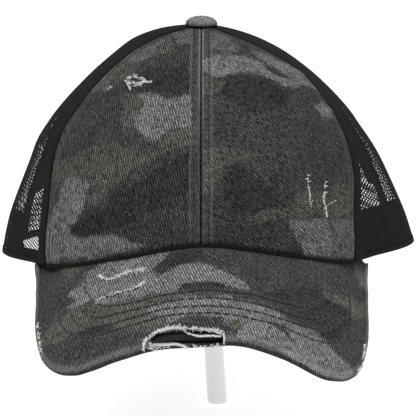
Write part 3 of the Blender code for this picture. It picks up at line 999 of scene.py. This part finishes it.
def seam_border(name, seam, side, look, low=None, width=NET_BORDER):
    """The doubled edge of a mesh panel along a seam. side is the way it lies from the seam."""

    def place(u, v):
        first = rim_climb(seam(np.zeros_like(v))) if low is None else low
        climb = first + (TOP_CLIMB - first) * v
        edge = seam(climb)
        reach = GAP / 2 + width * (u if side > 0 else 1 - u)
        step = np.degrees(reach / crown_radius(edge, climb))
        return crown_point(edge + side * step, climb, 0.0001)

    return border(name, place, 4, 90, MESH, look)


def hem_border(name, start, end, look):
    """The turned-up hem of a mesh panel."""

    def place(u, v):
        angle = start + (end - start) * u
        climb = rim_climb(angle) + (NET_BORDER * 0.8 / CLIMB_LENGTH) * v
        return crown_point(angle, climb, 0.0001)

    return border(name, place, 60, 5, MESH, look)


def band_top(angle):
    swing = np.minimum(np.abs(angle - BAND_DIP_ANGLE) / BAND_DIP_SPREAD, 1.0)
    full = BAND_HEIGHT + (BAND_HEIGHT_BEHIND - BAND_HEIGHT) * ease((np.abs(angle) - 88) / 24)
    return full + (BAND_LOW_HEIGHT - full) * ease(2 * (1 - swing))


def sweatband(look):
    end = 180 - float(opening_half_angle(0.0, BINDING_WIDTH + 2 * GAP))

    def place(u, v):
        angle = -end + 2 * end * u
        low = rim_climb(angle)
        high = climb_at(rim_lift(angle) + band_top(angle))
        ripple = 0.00012 * np.sin(np.radians(angle) * 60)
        return crown_point(angle, low + (high - low) * v, TWILL + LINING_GAP + ripple)

    return border(
        "sweatband_cloth", place, 320, 12, BAND_THICKNESS, look, "sweatband",
    )


def seam_tape(name, node, seam, look):
    def place(u, v):
        low = climb_at(rim_lift(seam(np.zeros_like(v))) + BAND_HEIGHT + TAPE_CLEARANCE)
        high = climb_at_radius(1.6 * TAPE_WIDTH)
        climb = low + (high - low) * v
        half = np.degrees(TAPE_WIDTH / 2 / crown_radius(seam(climb), climb))
        return crown_point(seam(climb) + half * (2 * u - 1), climb, TWILL + LINING_GAP)

    return border(name, place, 8, 60, TAPE, look, node)


def opening_binding(look):
    def place(u, v):
        turn = 1 - 2 * u
        margin = BINDING_WIDTH * (1 - v)
        height = (OPENING_HEIGHT + margin) * np.cos(np.pi / 2 * turn) ** (2 / 2.6)
        climb = climb_at(height)
        half = np.where(np.abs(turn) > 1e-6, opening_half_angle(climb, margin), 0.0)
        side = np.where(turn < 0, 1, -1)
        round_over = 0.0004 * (2 * v - 1) ** 4
        return crown_point(side * (180 - half), climb, MESH / 2 - BINDING_THICKNESS / 2 + round_over)

    return border(
        "binding_tape", place, 120, 8, BINDING_THICKNESS, look, "opening_binding",
    )


def closing_strap(look):
    half = float(opening_half_angle(0.0, BINDING_WIDTH - GAP))

    def place(u, v):
        angle = 180 - half + 2 * half * u
        inset = MESH / 2 + BINDING_THICKNESS / 2 + GAP
        round_over = 0.0003 * (2 * v - 1) ** 6
        return crown_point(angle, climb_at(STRAP_HEIGHT) * v, inset + round_over)

    return border("closing_strap", place, 60, 10, STRAP_THICKNESS, look, "back_strap")


# Peak

SLITS = (
    ((97, 302), (106, 298), (119, 294), (133, 291), (142, 287)),
    ((365, 350), (363, 358), (360, 369)),
)
TEAR_LIP = ((150, 348), (165, 347), (180, 346.5), (200, 346.8), (222, 346))
TEAR_OUTLINE = (
    (149, 343), (151, 337.6), (157, 334.0), (166, 331.6), (175, 330.4), (182, 330.0), (188, 330.0),
    (195, 330.0), (204, 330.2), (214, 331.6), (222, 333.6), (224.5, 338), (223, 343.6), (212, 344.6),
    (198, 345), (182, 345), (166, 345.4), (152, 345.8),
)
STITCH_ROWS = (
    (
        (85, 275), (86, 290), (95, 302), (106, 306), (119, 305), (139, 301), (159, 296),
        (186, 292), (208, 290), (248, 294), (268, 299), (288, 304), (303, 307), (314, 303),
        (321, 298), (322, 288), (322, 270),
    ),
    (
        (81, 310), (93, 317), (105, 317), (119, 313), (146, 307), (172, 301), (208, 298),
        (234, 300), (261, 305), (288, 313), (301, 317), (318, 319), (327, 314),
    ),
    (
        (70, 314), (76, 323), (86, 328), (98, 327), (119, 322), (146, 314), (172, 308), (208, 306),
        (234, 308), (261, 313), (288, 321), (309, 327), (322, 329), (331, 325), (340, 318),
    ),
    (
        (58, 314), (61, 325), (70, 334), (82, 338), (99, 335), (119, 329), (146, 321), (172, 315),
        (208, 313), (234, 315), (261, 321), (281, 326), (301, 335), (318, 341), (333, 343),
        (341, 339), (347, 330), (350, 321), (350, 300),
    ),
)


def smooth_line(line, steps=10):
    """More points along a smooth curve through the given ones."""
    knots = np.arange(len(line))
    fine = np.linspace(0, len(line) - 1, steps * (len(line) - 1) + 1)
    return list(zip(*(hermite(knots, values, fine) for values in zip(*line))))


def along_rows(points, u, v, columns, rows):
    """How far each point of a grid lies from its middle column, measured along its own row."""
    column, row = np.round(u * columns).astype(int), np.round(v * rows).astype(int)
    grid = np.empty((rows + 1, columns + 1, 3))
    grid[row, column] = points
    steps = np.linalg.norm(np.diff(grid, axis=1), axis=-1)
    run = np.concatenate((np.zeros((rows + 1, 1)), np.cumsum(steps, axis=1)), axis=1)
    return (run - run[:, [columns // 2]])[row, column]


def peak_cloth(look, columns=230, flat_rows=74, round_rows=12):
    """Cloth over both faces of the peak, rolled round its edge and torn open in front."""
    rows = 2 * flat_rows + round_rows
    body, u, v = flat_grid(columns, rows)
    radius = PEAK_THICKNESS / 2
    across = PEAK_END * (2 * u - 1)
    row = np.round(v * rows)
    under, over = row < flat_rows, row > flat_rows + round_rows
    forward = np.where(under, row, np.where(over, rows - row, flat_rows)) / flat_rows
    turn = np.pi * (np.clip((row - flat_rows) / round_rows, 0, 1) - 0.5)
    normal = peak_normal(across, forward, radius)
    base = peak_top(across, forward, radius)
    lift = normal * (np.sin(turn) - 1)[:, None] + peak_outward(across) * np.cos(turn)[:, None]
    points = base + lift * radius
    move_to(body, points)

    x, y = to_pixels(points)
    on_top = row >= flat_rows + round_rows * 0.55
    height = 0.00035 * soft_noise(points, 0.022, 9.0) + 0.00016 * soft_noise(points, 0.008, 2.0)
    # wear is worn, paler cloth. The second array is painted shade: in the slits, along the stitch
    # rows, at the seam, in the groove by the edge and under the rolled edge.
    wear, painted_shade = np.zeros_like(u), np.zeros_like(u)
    wear += np.where(on_top, 0.75 * bell(line_distance(x, y, TEAR_LIP), 1.8), 0)
    for line in SLITS:
        painted_shade += np.where(on_top, bell(line_distance(x, y + SLIT_SHADE_RISE, line), 0.8), 0)
    for line in STITCH_ROWS:
        distance = line_distance(x, y, smooth_line(line, 4))
        height -= np.where(on_top, 0.00030 * bell(distance, 1.3), 0)
        height += np.where(on_top, 0.00018 * bell(distance - 4.0, 2.2), 0)
        painted_shade += np.where(on_top, 0.5 * bell(distance, 0.8), 0)
        wear += np.where(on_top, 0.05 * bell(distance - 2.0, 1.0), 0)
    length = np.linalg.norm(peak_edge(across) - peak_seam(across), axis=-1)
    from_seam = forward * length
    from_edge = (1 - forward) * length
    rolled = (row - flat_rows) / round_rows
    wear += np.where((rolled > 0) & (rolled < 1.3), 0.20 * bell(rolled - 0.85, 0.25), 0)
    painted_shade += np.where(on_top | under, 0.75 * bell(from_seam, 0.0016), 0)
    groove = bell(from_edge - 0.0016, 0.0008) * on_top
    height -= 0.0003 * groove
    painted_shade += 0.18 * groove
    painted_shade += np.where((rolled > -0.1) & (rolled < 0.62), 0.55, 0)
    swell(body, height)
    give_values(body, "wear", wear)
    give_values(body, "painted_shade", painted_shade)
    under_y = UNDER_ROW + (points[:, 1] + UNDER_START) * UNDER_ROWS_PER_METRE
    paint_camo(body, np.where(under, FRAME_PIXELS - x, x), np.where(under, under_y, y))
    arc = length + radius * (np.pi / 2 - turn)
    beneath = 2 * length - from_seam + np.pi * radius
    run = np.where(under, beneath, np.where(over, from_seam, arc))
    give_uv(body, along_rows(points, u, v, columns, rows), -run)
    whole = BVHTree.FromBMesh(body)

    centres = np.array([face.calc_center_median() for face in body.faces])
    cx, cy = to_pixels(centres)
    upper = np.array([max(row[corner.index] for corner in face.verts) for face in body.faces])
    torn = (outline_distance(cx, cy, TEAR_OUTLINE) < 0) & (upper > flat_rows + round_rows * 0.35)
    spare = [face for face, gone in zip(body.faces, torn) if gone]
    bmesh.ops.delete(body, geom=spare, context="FACES")
    piece = finish_piece("peak_cloth", body, look)
    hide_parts("peak_cover")
    return piece, whole


def centre_tape(look):
    """Tape behind the front's centre seam."""

    def place(u, v):
        low = climb_at(rim_lift(np.zeros_like(v)))
        climb = low + (TOP_CLIMB - low) * v
        angle = np.degrees(CENTRE_TAPE_HALF_WIDTH * (2 * u - 1) / crown_radius(1.0, climb))
        return crown_point(angle, climb, TWILL + 0.0001)

    return border("centre_tape", place, 6, 90, 0.0004, look)


def back_middle_tape(look):
    """Tape behind the short seam over the opening."""

    def place(u, v):
        low = climb_at(OPENING_HEIGHT + BINDING_WIDTH)
        climb = low + (TOP_CLIMB - low) * v
        step = BACK_TAPE_HALF_WIDTH * (2 * u - 1) / crown_radius(180.0, climb)
        angle = 180 + np.degrees(step)
        return crown_point(angle, climb, MESH + 0.0002)

    return border("back_middle_tape", place, 6, 60, 0.0005, look)


def crease_shadow_bead(look):
    """A near-black bead in the crease between the crown and the peak: painted shadow of the crease.
    """
    start, end = (float(front_seam(side, np.zeros(1))[0]) for side in (-1, 1))
    angle = np.linspace(start, end, 140)
    points = crown_point(angle, rim_climb(angle), BEAD_INSET)
    points[:, 2] -= 0.0002
    strand = [Vector(point) for point in points]
    return threads("crease_shadow_bead", [strand], BEAD_RADIUS, look)


# Button and stand


def turned(name, outline, sides, look, centre, node):
    """A solid of revolution about an upright axis, from its outline of (radius, height)."""
    body = bmesh.new()
    corners = [body.verts.new((radius, 0, height)) for radius, height in outline]
    edges = [body.edges.new(pair) for pair in zip(corners, corners[1:])]
    bmesh.ops.spin(
        body, geom=corners + edges, axis=(0, 0, 1), cent=(0, 0, 0),
        steps=sides, angle=math.tau, use_merge=True, use_duplicate=False,
    )
    bmesh.ops.remove_doubles(body, verts=body.verts, dist=1e-6)
    bmesh.ops.translate(body, verts=body.verts, vec=centre)
    bmesh.ops.recalc_face_normals(body, faces=body.faces)
    body.verts.index_update()
    points = np.array([corner.co for corner in body.verts])
    if node == "top_button":
        give_uv(body, points[:, 0], points[:, 1])
        from_top = points[:, 2].max() - points[:, 2]
        give_values(body, "pale", np.ones(len(points)))
        give_values(body, "wear", 0.22 * bell(from_top, 0.0024))
        # Painted shade on the button's sides, below its top.
        give_values(body, "painted_shade", 0.9 * ease((from_top - 0.0026) / 0.0022))
    piece = finish_piece(name, body, look)
    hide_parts(node)
    return piece


def button(look):
    low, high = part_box("top_button")
    centre = ((low.x + high.x) / 2, (low.y + high.y) / 2, 0)
    radius, thick = (high.x - low.x) / 2, BUTTON_THICKNESS
    top = high.z - 0.0006
    dome = [
        (radius * math.cos(turn) ** 0.85, top - thick * 0.86 + thick * 0.86 * math.sin(turn))
        for turn in (math.radians(7.5 * step) for step in range(13))
    ]
    outline = [(0, low.z), (0.0018, low.z), (0.0018, top - thick), (radius * 0.90, top - thick),
               (radius * 0.97, top - thick * 0.96), *dome[:-1], (0, top)]
    return turned("button_cloth", outline, 64, look, centre, "top_button")


def stand_foot(look):
    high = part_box("stand_base")[1]
    radius, top, bevel = high.x, high.z, 0.0009
    outline = [(0, 0), (radius - bevel, 0), (radius, bevel), (radius, top - bevel)]
    outline += [
        (radius - bevel + bevel * math.cos(turn), top - bevel + bevel * math.sin(turn))
        for turn in (math.radians(22.5 * step) for step in range(1, 5))
    ]
    outline.append((0, top))
    return turned("stand_foot", outline, 128, look, (0, 0, 0), "stand_base")


def stand_tube(look, sides=48):
    """The leaning pole, between level ends."""
    low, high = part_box("stand_pole")
    radius = (high.y - low.y) / 2
    foot, head = low.z, high.z
    foot_x, head_x = high.x - radius, low.x + radius
    body = bmesh.new()
    bmesh.ops.create_cone(
        body, cap_ends=True, segments=sides, radius1=radius, radius2=radius, depth=head - foot,
    )
    for corner in body.verts:
        share = corner.co.z / (head - foot) + 0.5
        corner.co.z += (head + foot) / 2
        corner.co.x += foot_x + (head_x - foot_x) * share
    piece = finish_piece("stand_tube", body, look)
    piece.data.set_sharp_from_angle(angle=math.radians(40))
    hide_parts("stand_pole")
    return piece


# Stitches and threads


def cast(trees, x, y):
    """The point and normal that a pixel of the photograph shows."""
    start, aim = pixel_ray(x, y)
    best = None
    for tree in trees:
        place, normal, _, distance = tree.ray_cast(start, aim)
        if place is not None and (best is None or distance < best[2]):
            if normal.dot(aim) > 0:
                normal = -normal
            best = (place, normal, distance)
    return best


def stitch_run(
    body, places, length=STITCH_LENGTH, step=STITCH_STEP, radius=STITCH_RADIUS, sink=0.25,
):
    """Even stitches along a line of (point, normal)."""
    travelled, wanted = 0.0, step / 2
    for (a, normal_a), (b, normal_b) in zip(places, places[1:]):
        span = (b - a).length
        while span > 1e-9 and travelled + span >= wanted:
            share = (wanted - travelled) / span
            point, normal = a.lerp(b, share), normal_a.lerp(normal_b, share).normalized()
            ahead = (b - a).normalized()
            beside = normal.cross(ahead).normalized()
            made = bmesh.ops.create_uvsphere(body, u_segments=6, v_segments=5, radius=1.0)["verts"]
            for corner in made:
                x, y, z = corner.co
                corner.co = (
                    point + ahead * z * length / 2 + beside * x * radius
                    + normal * (y * radius + radius * (1 - 2 * sink))
                )
            wanted += step
        travelled += span


def stitches(name, rows, look, slot_name, **sizes):
    body = bmesh.new()
    for places in rows:
        stitch_run(body, places, **sizes)
    piece = finish_piece(name, body, look)
    return piece


def nearest_places(tree, points):
    """Points moved onto a surface, with its normals."""
    places = []
    for point in points:
        place, normal, _, _ = tree.find_nearest(Vector(point))
        places.append((place, normal))
    return places


def threads(name, strands, radius, look):
    """Loose threads: each strand is a list of points."""
    curve = bpy.data.curves.new(name, "CURVE")
    curve.dimensions = "3D"
    curve.bevel_depth = radius
    curve.bevel_resolution = 1
    curve.use_fill_caps = True
    for strand in strands:
        spline = curve.splines.new("POLY")
        spline.points.add(len(strand) - 1)
        for point, place in zip(spline.points, strand):
            point.co = (*place, 1)
    holder = bpy.data.objects.new(name, curve)
    body = bmesh.new()
    mesh = bpy.data.meshes.new_from_object(holder)
    body.from_mesh(mesh)
    bpy.data.objects.remove(holder)
    bpy.data.meshes.remove(mesh)
    piece = finish_piece(name, body, look)
    return piece


Fray = namedtuple("Fray", "line spread count length follow", defaults=(0.0,))
CROWN_FRAYS = (
    Fray((
        (126, 80), (129, 78), (134, 77), (140, 78), (145, 81), (141, 84), (134, 84), (128, 83),
        (127, 80),
    ), 0.9, 80, 6.0, 0.55),
    Fray(((138, 81), (147, 82), (154, 82)), 0.35, 8, 9.0, 1.0),
    Fray(((126, 82), (129, 87), (132, 91)), 0.6, 9, 5.0, 0.6),
    Fray(((109, 90), (113, 87)), 0.3, 4, 3.0),
    Fray(((307, 174), (308, 186), (310, 198), (311, 209)), 0.4, 36, 4.0, 0.45),
    Fray(((325, 182), (324, 192), (324, 203), (326, 212), (327, 218)), 0.5, 50, 4.5, 0.45),
    Fray(((326, 206), (332, 202), (337, 200)), 0.3, 7, 3.0, 0.5),
)
PEAK_FRAYS = (
    Fray((
        (99, 276), (106, 280), (117, 277), (127, 273), (139, 270), (146, 270),
    ), 0.8, 110, 5.0, 0.4),
    Fray((
        (96, 302), (106, 297), (119, 293), (133, 289), (141, 285), (144, 282),
    ), 0.7, 90, 4.0, 0.4),
    Fray((
        (145, 341), (150, 337.5), (155, 333.5), (160, 331), (165, 329.5), (170, 328.4),
        (176, 327.6), (182, 328), (190, 328.6), (197, 328.8), (205, 330), (212, 330.6),
        (218, 332.2), (224, 333.2),
    ), 1.0, 250, 7.0, 0.42),
    Fray(((183, 332), (193, 335.5), (200, 337), (212, 336.5), (224, 337)), 0.2, 10, 34.0, 1.0),
    Fray((
        (148.5, 342), (152, 345), (160, 345), (170, 344.5), (178, 344), (183, 345.5), (190, 348),
    ), 0.35, 22, 30.0, 1.0),
    Fray(((150, 346), (156, 349), (163, 350), (169, 348)), 1.4, 46, 4.0, 0.4),
    Fray(((143.5, 352), (143.8, 347), (145, 341), (148, 339)), 0.6, 36, 6.0, 0.8),
    Fray(((194, 346.5), (208, 346), (222, 345)), 1.0, 60, 2.2, 0.3),
    Fray(((223.5, 334), (224.5, 339), (223.5, 345)), 0.5, 26, 5.0, 0.8),
    Fray(((38.5, 322), (39, 334), (40, 346), (43, 360)), 0.8, 46, 3.2, 0.4),
    Fray(((364.5, 344), (364, 354), (361, 366), (357, 373)), 0.6, 46, 4.0, 0.6),
    Fray(((356, 373), (360, 376), (364, 378), (366, 381), (362, 383)), 1.5, 60, 5.0, 0.3),
)


def fray_strands(trees, frays, seed, lift=0.0003):
    """Curled fibres scattered along lines charted in pixels. Some of them follow the line."""
    chance = random.Random(seed)
    strands = []
    for fray in frays:
        line = smooth_line(fray.line, 8)
        for _ in range(fray.count):
            at = chance.randrange(len(line) - 1)
            x = line[at][0] + chance.gauss(0, fray.spread)
            y = line[at][1] + chance.gauss(0, fray.spread)
            follows = chance.random() < fray.follow
            count = 6 if not follows else max(6, int(fray.length / 1.5))
            step = fray.length / count * chance.uniform(0.6, 1.2)
            step *= 1 if follows else min(1, 3.4 / fray.length)
            heading, curl = chance.uniform(0, math.tau), chance.gauss(0, 1.3)
            strand, distance, walked = [], None, 0.0
            for number in range(count):
                start, aim = pixel_ray(x, y)
                hit = cast(trees, x, y)
                if hit is not None:
                    distance = hit[2]
                    rise = lift + 0.00025 * math.sin(1.3 * number + 3 * curl)
                    strand.append(hit[0] + hit[1] * rise)
                elif distance is not None:
                    strand.append(start + aim * distance)
                else:
                    break
                if follows:
                    walked += step
                    while at < len(line) - 2 and walked > math.dist(line[at], line[at + 1]):
                        walked -= math.dist(line[at], line[at + 1])
                        at += 1
                    if at == len(line) - 2:
                        break
                    (from_x, from_y), (to_x, to_y) = line[at], line[at + 1]
                    heading = math.atan2(to_y - from_y, to_x - from_x)
                    heading += 0.6 * math.sin(2.3 * number + 5 * curl)
                else:
                    heading += curl
                x, y = x + step * math.cos(heading), y + step * math.sin(heading)
            if len(strand) > 2 and all((a - b).length < 0.004 for a, b in zip(strand, strand[1:])):
                strands.append(strand)
    return strands


# Room


Lamp = namedtuple("Lamp", "name place size power")
LAMPS = (
    Lamp("key", (-0.6, -1.1, 1.6), 1.0, 16),
    Lamp("fill", (1.2, -1.0, 0.9), 1.2, 5),
    Lamp("back", (0.2, 1.3, 1.3), 1.0, 4),
    Lamp("top", (0.1, -0.35, 1.6), 1.2, 12),
)


def floor_and_light():
    body = bmesh.new()
    bmesh.ops.create_grid(body, x_segments=2, y_segments=2, size=20)
    mesh = bpy.data.meshes.new("floor")
    body.to_mesh(mesh)
    body.free()
    floor = bpy.data.objects.new("floor", mesh)
    bpy.context.scene.collection.objects.link(floor)
    look = bpy.data.materials.new("pale_floor")
    look.use_nodes = True
    shader = look.node_tree.nodes["Principled BSDF"]
    shader.inputs["Base Color"].default_value = (FLOOR_GREY, FLOOR_GREY, FLOOR_GREY, 1)
    shader.inputs["Roughness"].default_value = 1.0
    shader.inputs["Emission Color"].default_value = (1, 1, 1, 1)
    shader.inputs["Emission Strength"].default_value = FLOOR_GLOW
    mesh.materials.append(look)

    world = bpy.data.worlds.new("room")
    world.use_nodes = True
    sky = world.node_tree.nodes["Background"]
    sky.inputs["Color"].default_value = (1, 1, 1, 1)
    sky.inputs["Strength"].default_value = ROOM_LIGHT
    bpy.context.scene.world = world

    for lamp in LAMPS:
        light = bpy.data.lights.new(lamp.name, "AREA")
        light.size, light.energy = lamp.size, lamp.power
        holder = bpy.data.objects.new(lamp.name, light)
        holder.location = lamp.place
        aim = Vector((0, 0, 0.12)) - Vector(lamp.place)
        holder.rotation_euler = aim.to_track_quat("-Z", "Y").to_euler()
        bpy.context.scene.collection.objects.link(holder)


def camera():
    forward, _ = view_axes()
    eye = bpy.data.cameras.new("camera")
    eye.sensor_width = SENSOR
    eye.lens = SENSOR * VIEW_DISTANCE / VIEW_WIDTH
    eye.clip_end = 100
    holder = bpy.data.objects.new("camera", eye)
    holder.location = VIEW_TARGET - forward * VIEW_DISTANCE
    holder.rotation_euler = forward.to_track_quat("-Z", "Y").to_euler()
    bpy.context.scene.collection.objects.link(holder)
    bpy.context.scene.camera = holder
    bpy.context.scene.view_settings.view_transform = "Standard"


# The cap

camera()
floor_and_light()

twill_left = camo_twill("twill_left", lean=77, pitch=0.00125)
twill_right = camo_twill("twill_right", lean=50, pitch=0.00115)
# The peak's twill is a brighter copy of the same cloth: painted light on its upward face.
twill_peak = camo_twill("twill_peak", lean=74, pitch=0.00130, fade=1.27)
twill_button = camo_twill("twill_button", lean=80, pitch=0.0008)
net_yarn = black_cloth("net_yarn", (0.009, 0.009, 0.010), 0.0008)
hem_cloth = black_cloth("hem_cloth", (0.0045, 0.0045, 0.005), 0.0010)
tape_cloth = black_cloth("tape_cloth", (0.004, 0.004, 0.0045), 0.0012)
black_thread = cotton_thread("black_thread", (0.010, 0.010, 0.011))
grey_thread = cotton_thread("grey_thread", (0.035, 0.035, 0.038))
white_thread = cotton_thread("white_thread", (0.80, 0.80, 0.78))
board_sheet = black_cloth("board_sheet", (0.010, 0.010, 0.011), 0.002)
# Both stand finishes glow: painted light that keeps the pole and the foot white under the cap's
# shade.
white_metal_painted_glow = lacquer("white_metal_painted_glow", (0.86, 0.86, 0.87), 0.16)
white_foot_painted_glow = lacquer("white_foot_painted_glow", (0.88, 0.88, 0.88), 0.80)

left_cloth = front_cloth(-1, twill_left)
right_cloth = front_cloth(1, twill_right)
peak, peak_tree = peak_cloth(twill_peak)
crown_trees = [surface_of(left_cloth), surface_of(right_cloth)]
thicken(left_cloth, TWILL)
thicken(right_cloth, TWILL)
thicken(peak, PEAK_CLOTH)

for side, word in ((-1, "left"), (1, "right")):
    front, behind = partial(front_seam, side), partial(back_seam, side)
    opening, middle_back = partial(opening_edge, side), partial(back_middle, side)
    first, last = (behind, front) if side < 0 else (front, behind)
    net_panel(f"net_side_{word}", f"side_mesh_{word}", first, last, side * NET_TILT, net_yarn)
    seam_border(f"net_edge_front_{word}", front, side, hem_cloth, width=NET_FRONT_BORDER)
    seam_border(f"net_edge_side_{word}", behind, -side, hem_cloth)
    seam_border(f"net_edge_behind_{word}", behind, side, hem_cloth)
    first, last = (opening, behind) if side < 0 else (behind, opening)
    net_panel(f"net_back_{word}", f"back_mesh_{word}", first, last, side * NET_TILT, net_yarn)
    fork = float(climb_at(OPENING_HEIGHT + BINDING_WIDTH))
    seam_border(f"net_edge_back_{word}", middle_back, -side, hem_cloth, low=fork)
    rim_end = float(np.abs(opening(np.zeros(1)))[0])
    front_end = float(np.abs(front(np.zeros(1)))[0])
    ends = (side * front_end, side * rim_end) if side > 0 else (side * rim_end, side * front_end)
    hem_border(f"net_hem_{word}", *ends, hem_cloth)
    seam_tape(f"tape_front_{word}", f"seam_tape_front_{word}", front, tape_cloth)
    seam_tape(f"tape_back_{word}", f"seam_tape_back_{word}", behind, tape_cloth)

sweatband(tape_cloth)
centre_tape(tape_cloth)
crease_shadow_bead(tape_cloth)
back_middle_tape(tape_cloth)
opening_binding(tape_cloth)
closing_strap(tape_cloth)
button(twill_button)
stand_foot(white_foot_painted_glow)
stand_tube(white_metal_painted_glow)
for name, look in (("stand_rest", white_metal_painted_glow), ("peak_board", board_sheet)):
    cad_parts[name].data.materials.clear()
    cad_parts[name].data.materials.append(look)

# Topstitching beside the seams of the front
rows = []
for side, tree in ((-1, crown_trees[0]), (1, crown_trees[1])):
    low = float(rim_climb(0.0)) + 0.01
    climb = np.linspace(low, TOP_CLIMB - 0.05, 160)
    middle_angle = side * np.degrees(TOPSTITCH / crown_radius(side * 1.0, climb))
    rows.append(nearest_places(tree, crown_point(middle_angle, climb)))
    low_seam = float(rim_climb(side * 55.0)) + 0.01
    climb = np.linspace(low_seam, TOP_CLIMB - 0.05, 160)
    seam = front_seam(side, climb)
    seam_angle = seam - side * np.degrees(TOPSTITCH / crown_radius(seam, climb))
    rows.append(nearest_places(tree, crown_point(seam_angle, climb)))
stitches("front_topstitch", rows, grey_thread, "washed_twill")

rows = []
for line in STITCH_ROWS:
    hits = [cast([peak_tree], x, y) for x, y in smooth_line(line, 12)]
    rows.append([(hit[0], hit[1]) for hit in hits if hit])
stitches(
    "peak_stitches", rows, black_thread, "black_tape",
    length=PEAK_STITCH_LENGTH, step=PEAK_STITCH_STEP, radius=PEAK_STITCH_RADIUS,
)

# Painted shadow of the slit: a near-black thread on the uncut cloth, just above its frayed lip.
gap_hits = [cast([peak_tree], x, y - SLIT_GAP_RISE) for x, y in smooth_line(SLITS[0], 8)]
gap_strand = [hit[0] for hit in gap_hits if hit]
threads("slit_painted_shadow", [gap_strand], SLIT_GAP_RADIUS, tape_cloth)

crown_strands = fray_strands(crown_trees, CROWN_FRAYS, seed=11)
threads("crown_frays", crown_strands, CROWN_FIBRE_RADIUS, white_thread)
peak_strands = fray_strands([peak_tree], PEAK_FRAYS, seed=12)
threads("peak_frays", peak_strands, PEAK_FIBRE_RADIUS, white_thread)
